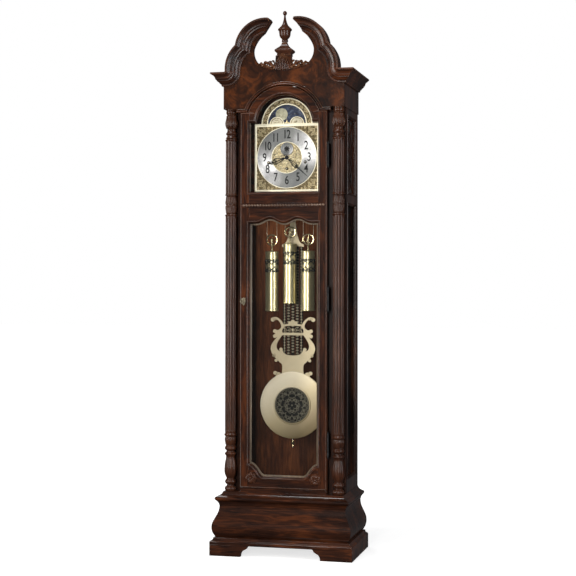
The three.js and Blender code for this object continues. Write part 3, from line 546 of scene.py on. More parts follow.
# The bob's colour carries painted light, paler at its upper left and darker at its lower right.
BOB_BRASS = (metal("bob_brass", (1.0, 0.90, 0.67), 0.38, 0.04, scale=14.0, solid=0.12,
                   painted_sheen=(BOB_CENTRE, 120)), "satin_brass")
CAST = (relief_brass("cast_brass", (0.62, 0.54, 0.34), (0.07, 0.055, 0.03), 420.0), "polished_brass")
CHASED = (metal("chased_brass", (0.74, 0.62, 0.36), 0.3, 0.5, scale=110.0, solid=0.6, aged=4.0),
          "polished_brass")
SPANDREL = (relief_brass("dark_cast_brass", (0.26, 0.20, 0.10), (0.022, 0.016, 0.009), 520.0),
            "polished_brass")
FILIGREE = (metal("silvered_filigree", (0.34, 0.31, 0.22), 0.3, 0.35, scale=90.0, solid=0.7, aged=1.6),
            "satin_brass")
OPENWORK = (metal("blackened_filigree", (0.10, 0.097, 0.088), 0.26, 0.6, scale=90.0, solid=0.8),
            "satin_brass")
AGED_BRASS = (metal("aged_brass", (0.22, 0.19, 0.13), 0.34, 0.35, solid=0.8), "polished_brass")
TUBE_BRASS = (metal("lacquered_tube", (0.56, 0.50, 0.285), 0.27, 0.03, scale=1.0, solid=0.8),
              "polished_brass")
FILIGREE_BED = (paint("filigree_bed", (0.003, 0.0028, 0.0025), (0.010, 0.009, 0.007), 0.6, shine=0.2),
                "blackened_steel")
STEEL = (metal("bright_steel", (0.62, 0.62, 0.63), 0.28, 0.2, "z"), "steel")
CABLE = (metal("cable_strand", (0.60, 0.52, 0.38), 0.35, 0.3), "cable_steel")
SILVER = (silvered("silvered_ring"), "silvered_metal")
BLACK = (paint("blued_black", (0.003, 0.003, 0.004), (0.009, 0.009, 0.009), 0.5, shine=0.15),
         "blackened_steel")
IVORY = (paint("painted_ivory", (0.52, 0.47, 0.33), (0.72, 0.67, 0.50), 0.45, 160.0), "painted_dial")
MOON = (paint("painted_moon", (0.30, 0.29, 0.19), (0.50, 0.48, 0.33), 0.5, 90.0), "painted_dial")
SKY = (night_sky("painted_sky"), "painted_dial")
GLASS = (clear_glass("clear_glass"), "clear_glass")
CLOTH = (fabric("speaker_cloth"), "cherry_wood")


# ---------------------------------------------------------------- base
PLINTH_HIGH = mm_box("plinth")[1]
FRIEZE_HALF = mm_box("side_panel_right")[1][0]
CASE_HALF = FRIEZE_HALF - 4
BACK = PLINTH_HIGH[1]
BOARD_LOW = mm_box("pediment_board")[0]
FRONT = BOARD_LOW[1]


def around_case(profile):
    """A closed profile of (out from the trunk, height) pairs, mitred round the sides and front."""
    rings = []
    for side, ahead in ((-1, False), (-1, True), (1, True), (1, False)):
        rings.append([(side * (CASE_HALF + out), FRONT - out if ahead else BACK, z) for out, z in profile])
    return skin(rings)


def base():
    """The swelling base, its cap and deck, and the plinth with its bracket feet."""
    low, high = mm_box("bombe_base")
    swell = [(26, low[2]), (27, 79), (30, 84), (37, 98), (40.5, 116), (39.3, 134), (34, 149), (25, 167),
             (17, 185), (13.8, 200), (13, 212)]
    back_half = CASE_HALF - 18.5
    body = merged(
        around_case(smooth_line(swell, 4) + [(-18, 212), (-18, low[2])]),
        block(-back_half, back_half, BACK - 9, BACK - 1, low[2], high[2]),
    )
    add_piece("bombe_carcass", body, WOOD_X, replaces=("bombe_base",), crease=25)

    cap_low, cap_high = mm_box("base_cap_frame")
    nose = smooth_line([(14, 213), (16.5, 222), (22, 230), (29, 237), (30.4, 242.5), (28, 248)], 4)
    slope = smooth_line([(26, 249), (17, 252.5), (8, 258), (3, 265), (1, 270)], 4)
    cap = around_case(nose + slope + [(-20, 270), (-20, cap_low[2])])
    deck = block(-cap_high[0] + 60, cap_high[0] - 60, FRONT + 30, BACK - 10, 258, 270.2)
    sill = block(-190, 190, -130, -110, 268, cap_high[2])
    add_piece("base_cap", merged(cap, deck, sill), WOOD_X, replaces=("base_cap_frame",), crease=25,
              bevel=0.6)

    top, half, apron_top = PLINTH_HIGH[2], 312, 48
    step = [(48, 47), (48, 60.5), (46.6, 62), (38, 66), (35.5, 70), (35, top)]
    band = around_case(step + [(-18, top), (-18, 47)])
    foot = [(175, 0.6), *arc(149, 6, 25, 0, 68, 8), (151, 33), (148, 36), *arc(134, 36, 12, 0, 90, 6)]
    apron = plate(symmetric([(half, apron_top), (half, 0), *foot]), FRONT - 48, FRONT - 28)
    sides = both(block(half - 20, half, FRONT - 28.5, BACK, 0, apron_top))
    floor_board = block(-CASE_HALF, CASE_HALF, FRONT, BACK - 9, 58, 70)
    shape = merged(band, apron, sides, floor_board)
    add_piece("bracket_feet", shape, PLINTH_WOOD, replaces=("plinth",), bevel=0.9)


# ---------------------------------------------------------------- pediment
# Each arc is its centre in X and Z and its radius, at the lower edge of the neck's moulding.
COVE = (254, 2087, 62)
NECK = (111, 2095, 81)
SCROLL = (72, 2177, 76)
CORNICE_BOTTOM = 2025
CORNICE_HIGH = 58
REACH = 48
# (height, out) pairs, from the moulding's lower edge.
CORNICE_PROFILE = [
    (0.5, 0.5), (0.5, 6), (2.5, 7.6), (8, 8), (9, 10), (11, 12.5), (15, 15.5), (19, 19.5), (22, 24),
    (26, 25), (27, 27), (30, 29.5), (34, 30.5), (38, 32), (44, 36.5), (48, 42.5), (50.5, 44), (51, REACH),
    (CORNICE_HIGH, REACH),
]


def mitre_point(t):
    """Where the neck's two arcs meet, t above the moulding's lower edge."""
    dx, dz = NECK[0] - SCROLL[0], NECK[1] - SCROLL[1]
    span = math.hypot(dx, dz)
    ra, rb = SCROLL[2] + t, NECK[2] + t
    along = (ra * ra - rb * rb + span * span) / (2 * span)
    across = math.sqrt(ra * ra - along * along)
    return SCROLL[0] + (along * dx - across * dz) / span, SCROLL[1] + (along * dz + across * dx) / span


def bearing(centre, point):
    """The angle of a point as seen from a centre, in degrees anticlockwise from +X."""
    return math.degrees(math.atan2(point[1] - centre[1], point[0] - centre[0]))


def neck_line(t):
    """The swan neck's line in X and Z, t above its lower edge: cove, neck, then scroll."""
    meet = mitre_point(t)
    end = 80 + 19 * min(1, t / 47) - 2.5 * max(0, (t - 47) / 11) ** 2
    cove = arc(COVE[0], COVE[1], COVE[2] - t, 270, 180, 16)
    neck = arc(NECK[0], NECK[1], NECK[2] + t, 0, bearing(NECK, meet), 22)
    scroll = arc(SCROLL[0], SCROLL[1], SCROLL[2] + t, bearing(SCROLL, meet), end, 40)
    return cove + neck[:-1] + scroll


def swan_neck():
    """The right neck: the cornice's profile, from the back along the side and up the scroll."""
    profile = CORNICE_PROFILE + [(CORNICE_HIGH, -22), (50.6, -22), (50.6, GAP), (0.5, GAP)]
    lines = [neck_line(t) for t, _ in profile]
    rings = [
        [(FRIEZE_HALF + out, BACK, CORNICE_BOTTOM + t) for t, out in profile],
        [(FRIEZE_HALF + out, FRONT - out, CORNICE_BOTTOM + t) for t, out in profile],
    ]
    for k in range(len(lines[0])):
        rings.append([(line[k][0], FRONT - out, line[k][1]) for line, (t, out) in zip(lines, profile)])
    return skin(rings)


def pediment():
    """The two swan necks, the veneered board between them and the moulding over the door's arch."""
    neck = swan_neck()
    add_piece("neck_moulding_right", neck, MOULDED, replaces=("swan_neck_right",), crease=30)
    add_piece("neck_moulding_left", mirror(neck), MOULDED, replaces=("swan_neck_left",), crease=30)

    bottom = BOARD_LOW[2]
    arch_z, arch_r, trim_r, trim_half = 1851.5, 188.6, 173.5, 208
    foot = math.degrees(math.asin((bottom - arch_z) / arch_r))
    opening = [(85.2, 2251.8), (104, 2236), (121, 2213), (132, 2190), (134.5, 2170), (130, 2148),
               (119, 2128), (103, 2112)]
    seat = [(70, 2104), (46, 2106), (36, 2124), (34, 2153)]
    half = [(FRIEZE_HALF, bottom), (FRIEZE_HALF, CORNICE_BOTTOM + 50), *neck_line(50),
            *smooth_line(opening, 5), *seat]
    outline = [*symmetric(half), *arc(0, arch_z, arch_r, 180 - foot, foot, 48)]
    add_piece("burl_pediment", plate(outline, FRONT, FRONT + 22), BURL, replaces=("pediment_board",),
              crease=40)

    shoulder = mm_box("arch_moulding")[0][2]
    rise = math.degrees(math.asin((shoulder - arch_z) / trim_r))
    path = [(-trim_half, shoulder), *arc(0, arch_z, trim_r, 180 - rise, rise, 64), (trim_half, shoulder)]
    bead = [(0, -22), (0, 2.2), (1.2, 4.2), (3.2, 5.2), (5.2, 4.4), (6.4, 2.6), (8, 1.6), (10, 3), (12, 4.4),
            (13.6, 3.6), (14, 1), (14, -22)]
    points, faces = moulding(bead, path, FRONT)
    trimmed = [(min(max(x, -trim_half), trim_half), y, z) for x, y, z in points]
    add_piece("arch_trim", (trimmed, faces), MOULDED, replaces=("arch_moulding",), crease=35)


def leaf(path, width, depth, y, ridges):
    """A carved leaf along a path in X and Z: lobed edges, a middle rib and a curled tip."""
    p = np.array(smooth_line(path, 7))
    along = np.gradient(p, axis=0)
    along /= np.linalg.norm(along, axis=1)[:, None]
    across = np.stack([-along[:, 1], along[:, 0]], 1)
    rings = []
    total = len(p) - 1
    for k, (centre, side) in enumerate(zip(p, across)):
        t = k / total
        wide = width * math.sin(math.pi * min(1, 0.12 + 0.88 * t)) ** 0.7
        wide *= 1 + 0.22 * math.cos(2 * math.pi * ridges * t)
        lift = depth * (0.6 + 0.4 * math.sin(math.pi * t)) + 0.25 * depth * t**4
        ring = []
        for s in (-1, -0.72, -0.4, -0.1, 0, 0.1, 0.4, 0.72, 1):
            crown = (1 - s * s) * (1 - 0.35 * math.exp(-((s / 0.12) ** 2)))
            crown += 0.18 * math.cos(9 * s) * (1 - abs(s))
            x, z = centre + side * s * max(wide, 0.4)
            ring.append((x, y - lift * max(crown, 0) - 0.3, z))
        ring += [(ring[-1][0], y, ring[-1][2]), (ring[0][0], y, ring[0][2])]
        rings.append(ring)
    return skin(rings)


def shell(top, bottom, half_top, half_bottom, y):
    """A fan of rounded ribs spreading from a narrow top to a scalloped, rounded lower edge."""
    ribs, runs = 9, 22
    columns = ribs * 10
    rings = []
    for j in range(runs + 1):
        v = j / runs
        ring = []
        for i in range(columns + 1):
            u = 2 * i / columns - 1
            rib = abs(math.sin(math.pi * ribs * (i / columns)))
            half = half_top + (half_bottom - half_top) * v**0.9
            rounded = 16 * (1 - math.sqrt(max(0, 1 - 0.96 * u * u))) * v**1.5
            scallop = 3.6 * rib**0.7 * v**3
            z = top - (top - bottom - 3.6) * v + rounded - scallop
            swell = 4 + 9 * math.sin(math.pi * min(1, 0.1 + 0.9 * v)) ** 0.8 + 3 * v**4
            crown = (1 - abs(u) ** 3) * swell
            groove = 5.2 * (1 - rib**0.55) * (0.2 + 0.8 * math.sin(math.pi * min(0.94, v)))
            ring.append((u * half, y - max(0.4, 3.5 + crown - groove), z))
        rings.append(ring)
    front, faces = skin(rings, closed_ring=False)
    back = [(x, y, z) for x, _, z in front]
    n = len(front)
    faces = faces + [tuple(n + i for i in reversed(face)) for face in faces]
    width = columns + 1
    edge = list(range(width)) + [r * width + columns for r in range(1, runs + 1)]
    edge += list(range(runs * width + columns - 1, runs * width - 1, -1))
    edge += [r * width for r in range(runs - 1, 0, -1)]
    for a, b in zip(edge, edge[1:] + edge[:1]):
        faces.append((a, b, n + b, n + a))
    return front + back, faces


def crest():
    """The carved shell below the finial, with leaves lying along the board's edge to each side."""
    y = FRONT - GAP
    fan = shell(2160, 2088, 10, 46, y)
    sprigs = (
        ([(36, 2100), (50, 2111), (64, 2119), (78, 2122), (90, 2117)], 7.5, 9, 5),
        ([(60, 2104), (76, 2110), (92, 2116), (106, 2117), (116, 2113)], 6, 8, 5),
        ([(42, 2094), (58, 2098), (76, 2103), (94, 2106)], 6, 8, 5),
        ([(49, 2113), (53, 2122), (60, 2128), (67, 2124)], 4, 7, 2),
        ([(69, 2117), (75, 2125), (83, 2127), (87, 2121)], 3.8, 7, 2),
        ([(89, 2113), (95, 2121), (102, 2122), (106, 2116)], 3.6, 6, 2),
        ([(38, 2112), (41, 2124), (47, 2130), (53, 2127)], 4.4, 8, 2),
    )
    carved = [leaf(path, width, depth, y, ridges) for path, width, depth, ridges in sprigs]
    for x, z, r, start, turns in ((68, 2108, 6, 200, 1.2), (92, 2111, 5, 160, -1.2),
                                  (52, 2106, 5, 180, -1.1)):
        carved.append(tube(flat_path(spiral(x, z, r, 1.2, start, turns), y - 4), 1.7, 8))
    add_piece("carved_crest", merged(fan, *[both(one) for one in carved]), CARVED,
              replaces=("shell_carving",), crease=60)


def finial():
    """The turned urn, on its square block with a hollowed roof."""
    low, high = mm_box("finial")
    y = (low[1] + high[1]) / 2
    depth_share = 0.84
    squares = [(30.6, low[2]), (29.4, 2156), (28.8, 2160), (29.6, 2163.4), (32.6, 2166), (33.4, 2168),
               (36.6, 2169.6), (38, 2171.6), (38, 2178), (36.4, 2180.2), (33.6, 2181.8), (31.4, 2184),
               (26.6, 2187.6), (21.2, 2192), (16.6, 2197), (13.2, 2203), (11.4, 2210)]
    corners = ((-1, -1), (1, -1), (1, 1), (-1, 1))
    rings = [[(right * half, y + behind * half * depth_share, z) for right, behind in corners]
             for half, z in squares]
    outline = [(0, 2208), (11, 2208), (11.2, 2212.6), (13.6, 2214.4), (14.6, 2218.4), (13.6, 2222),
               (12.6, 2224.6), (15, 2228), (19.4, 2232.6), (23, 2238.4), (24.4, 2244), (25.4, 2256),
               (26.6, 2261.6), (30.2, 2264.6), (31.2, 2268), (28.8, 2272.4), (22.4, 2278.4), (15.4, 2285.6),
               (11, 2294), (8.2, 2302), (6.2, 2310), (4.5, 2320), (3.8, 2328), (4.8, 2331.4), (7.4, 2334),
               (9, 2338.4), (9, 2342.6), (6.6, 2347), (3, high[2] - 0.4), (0, high[2])]
    turned = lathe(outline, 56, (0, y, 0))
    add_piece("urn_finial", merged(skin(rings), turned), CARVED, replaces=("finial",), crease=35)


# ---------------------------------------------------------------- columns
REEDED = ((527, 1459), (1559, 1786))
REEDS = 12
# A carved run's foot, its top, its leaves round the column, which way they grow, and its relief.
LEAFY = ((1838, 1903, 7, -1, 4.2), (1470, 1509, 8, 1, 2.6), (1509, 1548, 8, -1, 2.6), (466, 505, 8, 1, 2.4))
LOBED = ((331, 421, 8, 3.6), (276, 290, 14, 1.6), (301, 317, 14, 1.6))


def leaves(a, t, count):
    """The height of two rows of overlapping carved leaves, t from 0 at their foot to 1 at their tips."""
    height = 0
    for row in (0, 1):
        across = ((a * count / (2 * math.pi) + 0.5 * row) % 1) * 2 - 1
        reach = t * (1.22 - 0.22 * row)
        width = max(0.05, math.cos(math.pi / 2 * min(0.98, reach))) ** 0.5
        width *= 1 + 0.16 * math.cos(14 * reach)
        inside = 1 - abs(across) / width
        if inside > 0:
            vein = math.cos(13 * (abs(across) - 0.8 * t))
            rib = 0.35 * math.exp(-((across / 0.1) ** 2))
            crown = min(1, inside * 3.2) * (0.62 + 0.2 * vein + 0.3 * t) + rib
            height = max(height, crown)
    return height


def column_shape(a, r, h):
    """The column's radius at an angle and height: reeds, leaves and lobes cut into the turned line."""
    for low, high in REEDED:
        if low <= h <= high:
            fade = min(1, (h - low) / 8, (high - h) / 8)
            reed = abs(math.sin(REEDS / 2 * a))
            return r + 0.7 - 5.6 * fade * (1 - math.sqrt(1 - (1 - reed) ** 2))
    for low, high, count, way, relief in LEAFY:
        if low <= h <= high:
            t = (h - low) / (high - low)
            fade = min(1, t * 9, (1 - t) * 9)
            return r - relief * 0.8 + relief * fade * leaves(a, t if way > 0 else 1 - t, count)
    for low, high, count, relief in LOBED:
        if low <= h <= high:
            t = (h - low) / (high - low)
            lobe = abs(math.sin(count / 2 * a)) ** 0.55
            return r - relief * math.sin(math.pi * t) ** 0.6 * (1 - lobe)
    return r


def column_profile(foot, top):
    """The turned line of a column as (radius, height) pairs, closed by its flat ends."""
    turned = [(20, foot), (23, foot + 2.5), (25.4, 280), (23.4, 287), (17, 292), (15.6, 297), (19.6, 301),
              (24.6, 309), (22, 317), (17.4, 322), (19, 329), (23.6, 339), (26.6, 351), (26.8, 368),
              (24.4, 392), (20.4, 412), (20.6, 422), (24, 427), (25.4, 431.4), (22.4, 436), (18.4, 440),
              (18.8, 445), (24.4, 450), (25.4, 456), (23, 462), (21.4, 466), (23.6, 478), (24.8, 492),
              (24, 505), (27, 510), (27.2, 515), (24.2, 519), (24.6, 526)]
    upper = [(24.8, 1787), (27.2, 1790), (27, 1794), (23, 1798), (25.8, 1801), (22.6, 1806), (20, 1812),
             (24, 1818), (24.4, 1822), (19.8, 1829), (19.4, 1837), (23.4, 1848), (26, 1860), (25.4, 1876),
             (22.6, 1892), (22.4, 1903), (20.4, 1905), (23.6, 1909), (23.8, 1917), (21.4, 1919),
             (23.8, 1921), (23.8, top)]
    middle = [(24.6, 1460), (27.2, 1463), (27, 1467), (23.4, 1470), (24.6, 1489), (25.4, 1509), (24.6, 1529),
              (23.4, 1548), (27, 1551), (27.2, 1555), (24.6, 1558)]
    lower_shaft = [(24.2, z) for z in (527, 529, 532, 535, 700, 1100, 1451, 1454, 1457, 1459)]
    upper_shaft = [(24.2, z) for z in (1559, 1561, 1564, 1567, 1650, 1778, 1781, 1784, 1786)]
    whole = [*smooth_line(turned, 5), *lower_shaft, *smooth_line(middle, 9), *upper_shaft,
             *smooth_line(upper, 6)]
    return [(0, foot), *whole, (0, top)]


def columns():
    """The pair of corner columns, reeded and carved."""
    low, high = mm_box("column_right")
    x, y = (low[0] + high[0]) / 2, (low[1] + high[1]) / 2
    shaft = lathe(column_profile(low[2], high[2]), 168, (x, y, 0), column_shape)
    for side, turned in (("right", shaft), ("left", mirror(shaft))):
        obj = add_piece(f"carved_column_{side}", turned, CARVED, replaces=(f"column_{side}",), crease=0)
        obj.data.shade_smooth()


# ---------------------------------------------------------------- sides
def on_side(part):
    """A part drawn on the front plane, turned to the clock's right side, its X becoming the row's Y."""
    return moved(part, turn=math.pi / 2, about="z")


def rectangle(x0, x1, z0, z1):
    """A box's outline in X and Z, anticlockwise from its lower left corner."""
    return [(x0, z0), (x1, z0), (x1, z1), (x0, z1)]


WINDOW_BEAD = [(-8, -2), (-8, 1.4), (-6.6, 3.2), (-4.4, 3.6), (-2.4, 2.4), (-1.2, 0.2), (0.6, -2.4),
               (2.6, -4.4), (3.2, -9), (-2, -9)]


def fretwork(x0, x1, z0, z1, y):
    """Pierced panel: a diamond and rings on a trellis, inside a narrow frame."""
    cx, cz = (x0 + x1) / 2, (z0 + z1) / 2
    half, tall = (x1 - x0) / 2, (z1 - z0) / 2
    points_out, points_up, ring_r = half * 0.62, half * 0.95, half * 0.33
    bars = []

    def bar(points, width, closed=False):
        edge = width / 2
        strip = [(-edge, -2), (-edge, 1.1), (-edge + 0.8, 2), (edge - 0.8, 2), (edge, 1.1), (edge, -2)]
        bars.append(moulding(strip, points, y, closed))

    bar(rectangle(x0 + 4, x1 - 4, z0 + 4, z1 - 4), 8, True)
    diamond = [(cx + points_out, cz), (cx, cz + points_up), (cx - points_out, cz), (cx, cz - points_up)]
    bar(diamond, 8, True)
    bar([(cx + (x - cx) * 0.45, cz + (z - cz) * 0.45) for x, z in diamond], 5, True)
    for end in (-1, 1):
        ring_z, high_z = cz + end * tall * 0.74, cz + end * tall * 0.96
        bar(arc(cx, ring_z, ring_r, 0, 345, 23), 6, True)
        bar([(x0 + 6, high_z), (cx, cz + end * points_up), (x1 - 6, high_z)], 6)
        for side, edge in ((-1, x0 + 6), (1, x1 - 6)):
            knee = (cx + side * half * 0.3, cz + end * tall * 0.58)
            bar([(edge, cz + end * 12), knee, (edge, cz + end * tall * 0.9)], 5)
        bar([(cx, ring_z - ring_r), (cx, cz + end * half * 0.9)], 5)
    bar([(x0 + 4, cz), (cx - points_out, cz)], 5)
    bar([(cx + points_out, cz), (x1 - 4, cz)], 5)
    return merged(*bars)


def sides():
    """The beads round the side windows, and the fretwork with its dark cloth."""
    fret_low, fret_high = mm_box("side_fret_right")
    glass_low, glass_high = mm_box("side_glass_right")
    frames = []
    for low, high in ((fret_low, fret_high), (glass_low, glass_high)):
        opening = rectangle(low[1], high[1], low[2], high[2])
        frames.append(on_side(moulding(WINDOW_BEAD, opening, -CASE_HALF, True)))
    fret = on_side(fretwork(fret_low[1], fret_high[1], fret_low[2], fret_high[2], -fret_high[0] + 2))
    cloth = block(fret_low[0], fret_low[0] + 0.8, fret_low[1], fret_high[1], fret_low[2], fret_high[2])
    for side, placed in (("right", lambda part: part), ("left", mirror)):
        add_piece(f"side_bead_{side}", placed(merged(*frames)), SHADED_WOOD)
        add_piece(f"side_fretwork_{side}", placed(fret), WOOD_Z, replaces=(f"side_fret_{side}",))
        add_piece(f"side_cloth_{side}", placed(cloth), CLOTH)


# ---------------------------------------------------------------- door
DOOR_LOW, DOOR_HIGH = mm_box("door_stile_right")
DOOR_HALF, DOOR_FRONT, DOOR_BACK = DOOR_HIGH[0], DOOR_LOW[1], DOOR_HIGH[1]
SIGHT_HALF = DOOR_LOW[0]
# The arches of the opening and of the door's edge: centre in X and Z, then radius.
SIGHT_ARCH = (0, 1858, 127)
SIGHT_SHOULDER = 1868
DOOR_ARCH = (0, 1851.5, 170)
# Profiles as (left of the path, out towards the front) pairs.
STICKING = [(-8, -1), (-8, 1.2), (-7, 2.4), (-5.4, 3), (-3.8, 2.6), (-2.8, 1.2), (-1.2, 0.4), (0.4, -1.4),
            (1.8, -4.4), (2.2, -9), (3.2, -10), (3.2, -20), (-2, -20)]
GLASS_STOP = [(2, -15), (8.6, -15.4), (10, -16.6), (10, -20), (2, -20)]


def serpentine(x):
    """The wavy lower edge of the middle rail: two humps, and a dip in the middle."""
    return 1440 - 10 * math.cos(math.pi * min(abs(x), 124) / 62)


def bottom_corner(side):
    """The curved lower corner of the opening, from its side down to the foot, on the side -1 or 1."""
    line = [(154, 390), (147, 388.5), (138, 384), (129, 376), (120, 365), (111, 352), (102, 342),
            (90, 334.5)]
    return [(side * x, z) for x, z in smooth_line(line, 3)]


def rosette(x, z, y, r):
    """A carved eight-petalled flower round a domed button."""
    def petals(a, radius, h):
        share = min(1, radius / r)
        lobe = abs(math.cos(4 * a)) ** 0.6
        return radius * (1 - 0.17 * share**3 * (1 - lobe))

    outline = [(0, 9.5), (3.4, 9), (5.2, 7.2), (5.6, 5), (7.2, 5.6), (11, 7.2), (16, 7.6), (20, 6.2),
               (23, 3.6), (r, 1), (r, -1), (0, -1)]
    points, faces = lathe_y(outline, 96, shape=petals)
    sunk = []
    for px, py, pz in points:
        radius = math.hypot(px, pz)
        a = math.atan2(pz, px)
        if radius > 6:
            py += 2.4 * math.exp(-((math.sin(4 * a) / 0.22) ** 2)) * min(1, (radius - 6) / 6)
        sunk.append((px + x, min(py, 1) + y, pz + z))
    return sunk, faces


def add_to_door(name, part, look, **more):
    return add_piece(name, part, look, "door", **more)


def door_wood():
    """The door's rails and mouldings, and the glass stops, round its two openings."""
    shoulder = mm_box("door_top_rail")[0][2]
    door_top = DOOR_HIGH[2] + GAP
    rise = math.degrees(math.asin((door_top - DOOR_ARCH[1]) / DOOR_ARCH[2]))
    dip = math.degrees(math.asin((SIGHT_SHOULDER - SIGHT_ARCH[1]) / SIGHT_ARCH[2]))
    edge = SIGHT_HALF - GAP
    rail = [(edge, shoulder), (edge, door_top), *arc(*DOOR_ARCH, rise, 180 - rise, 64), (-edge, door_top),
            (-edge, shoulder), *arc(*SIGHT_ARCH, 180 - dip, dip, 56)]
    rail_part = plate(rail, DOOR_FRONT, DOOR_BACK)
    add_to_door("door_arch", rail_part, WOOD_X, replaces=("door_top_rail",), bevel=0.8)

    top = mm_box("door_mid_rail")[1][2]
    wave = [(x, serpentine(x)) for x in np.linspace(-edge, edge, 97)]
    middle = plate([(edge, top), (-edge, top), *wave], DOOR_FRONT, DOOR_BACK)
    reach = DOOR_HALF - 4
    bed = block(-reach, reach, DOOR_FRONT - 2, DOOR_FRONT + 0.4, 1496, 1514)
    fillets = [block(-reach, reach, DOOR_FRONT - 2.8, DOOR_FRONT, z, z + 1.6) for z in (1495, 1513.4)]
    rail_part = merged(middle, bed, *fillets)
    add_to_door("door_middle_rail", rail_part, WOOD_X, replaces=("door_mid_rail",), bevel=0.6)

    pitch = 12.6
    count = int((DOOR_HALF - 8) / pitch)
    beads = [moved(ball((0, 0, 0), (5.9, 4.5, 5.2), 9), (k * pitch, DOOR_FRONT - 2.1, 1505), 0.5)
             for k in range(-count, count + 1)]
    add_to_door("rope_moulding", merged(*beads), ROPE, crease=0)

    corner_right = bottom_corner(1)
    corner_left = bottom_corner(-1)
    low = mm_box("door_bottom_rail")[0][2]
    bottom = [(-edge, low), (edge, low), *[(min(x, edge), z) for x, z in corner_right],
              *corner_left[:0:-1], (-edge, 390)]
    rail_part = plate(bottom, DOOR_FRONT, DOOR_BACK)
    add_to_door("door_foot_rail", rail_part, WOOD_X, replaces=("door_bottom_rail",), bevel=0.8)

    lower = [*corner_left, *corner_right[::-1]]
    lower += [(x, serpentine(x)) for x in np.linspace(SIGHT_HALF, -SIGHT_HALF, 65)]
    upper = [(-SIGHT_HALF, top), (SIGHT_HALF, top), (SIGHT_HALF, SIGHT_SHOULDER),
             *arc(*SIGHT_ARCH, dip, 180 - dip, 56), (-SIGHT_HALF, SIGHT_SHOULDER)]
    sticking = [moulding(STICKING, opening, DOOR_FRONT, True) for opening in (lower, upper)]
    add_to_door("door_sticking", merged(*sticking), MOULDED, crease=40)
    add_to_door("glass_stops", moulding(GLASS_STOP, lower, DOOR_FRONT, True), LIT_STOP_WOOD, crease=30)

    door_top = DOOR_HIGH[2]
    rim = [(-DOOR_HALF, DOOR_LOW[2]), (DOOR_HALF, DOOR_LOW[2]), (DOOR_HALF, door_top), (edge, door_top),
           *arc(*DOOR_ARCH, rise + 0.6, 179.4 - rise, 64), (-edge, door_top), (-DOOR_HALF, door_top)]
    rim_bead = [(0.2, -6), (-0.2, 0.6), (0.6, 1.9), (2, 2.4), (3.6, 1.8), (4.6, 0.2), (4.8, -1)]
    add_to_door("door_edge_bead", moulding(rim_bead, rim, DOOR_FRONT, True), MOULDED, crease=50)
    add_to_door("door_rosettes", both(rosette(142, 330, DOOR_FRONT - 0.6, 25)), CARVED, crease=50)


def door_key():
    """The key in its shield-shaped plate."""
    key_low, key_high = mm_box("door_key")
    x, z = (key_low[0] + key_high[0]) / 2, (key_low[2] + key_high[2]) / 2
    bow_y = key_low[1] + 1.5
    half = smooth_line([(0, 17), (4, 13), (8, 14), (7, 7), (9, 0), (7, -8), (3.5, -15), (0, -19)], 4)
    outline = [(x + u, z + v) for u, v in symmetric(half)]
    shield = plate(outline, DOOR_FRONT - 1.6, DOOR_FRONT - 0.2)
    add_to_door("escutcheon", shield, AGED_BRASS, bevel=0.4)

    def loop(cx, cz, across, up, steps):
        angles = np.linspace(0, 2 * math.pi, steps + 1)[:-1]
        return [(cx + across * math.cos(a), bow_y, cz + up * math.sin(a)) for a in angles]

    trefoil = [tube(loop(x + dx, z + dz, 3.4, 3.4, 16), 1.1, 8, True)
               for dx, dz in ((0, 6), (-5, -3), (5, -3))]
    turned = [(0, 26), (2.4, 26), (3.6, 23.6), (2.6, 21), (2.6, 8), (3.6, 7), (3.6, 5.6), (2.7, 5),
              (2.7, -27), (0, -27)]
    stem = lathe_y(turned, 20, (x, -130, z))
    bit = block(x - 11, x + 11, -106, -102, z - 3.5, z + 3.5)
    key = merged(tube(loop(x, z, 9, 10.5, 32), 1.3, 10, True), *trefoil, stem, bit)
    add_piece("turned_key", key, AGED_BRASS, "door_key", replaces=("door_key",))


def hinges():
    """Each hinge's knuckles and tips, and the leaf let into the door's edge."""
    for node in ("hinge_top", "hinge_middle", "hinge_bottom"):
        low, high = mm_box(node)
        pin = (high[0] - 3.6, low[1] + 3.6, 0)
        turned = []
        for z, way in ((high[2], 1), (low[2], -1)):
            tip = [(0, 0), (2.6, 0), (3.8, 2), (2, 5), (2.6, 7), (0, 10)]
            turned.append(lathe([(r, z + way * h) for r, h in tip], 20, pin))
        for z in np.linspace(low[2] + 1, high[2] - 19, 5):
            turned.append(lathe([(3.4, z), (4, z + 0.8), (4, z + 17), (3.4, z + 18), (0, z + 18), (0, z)],
                                20, pin))
        add_piece(f"{node}_knuckles", merged(*turned), BLACK)
        leaf_plate = block(DOOR_HALF + 0.1, DOOR_HALF + 1.3, DOOR_FRONT + 1, DOOR_BACK - 3, low[2], high[2])
        add_piece(f"{node}_door_leaf", leaf_plate, BLACK, "door", bevel=0.3)


# ---------------------------------------------------------------- dial
DIAL_LOW, DIAL_HIGH = mm_box("dial_plate")
RING_LOW, RING_HIGH = mm_box("chapter_ring")
DIAL_Z = (RING_LOW[2] + RING_HIGH[2]) / 2
DIAL_Y = DIAL_LOW[1]
DIAL_HALF = DIAL_HIGH[0]
RING_OUTER = RING_HIGH[0]
RING_INNER = 67
ARCH_R = 115
MOON_R = 85
MOON_Z = DIAL_HIGH[2] - ARCH_R
# The humps that hide the moon's ends: centre in X and Z, then radius.
HUMP = (45, MOON_Z, 29)
HOUR_SHOWN, MINUTE_SHOWN = 8, 22
# Each train's winding square in X and Z.
WINDING = {"chime": (-82, 1695), "going": (0, 1668), "strike": (82, 1695)}


def circle(x, z, r, steps):
    return arc(x, z, r, 0, 360 - 360 / steps, steps - 1)


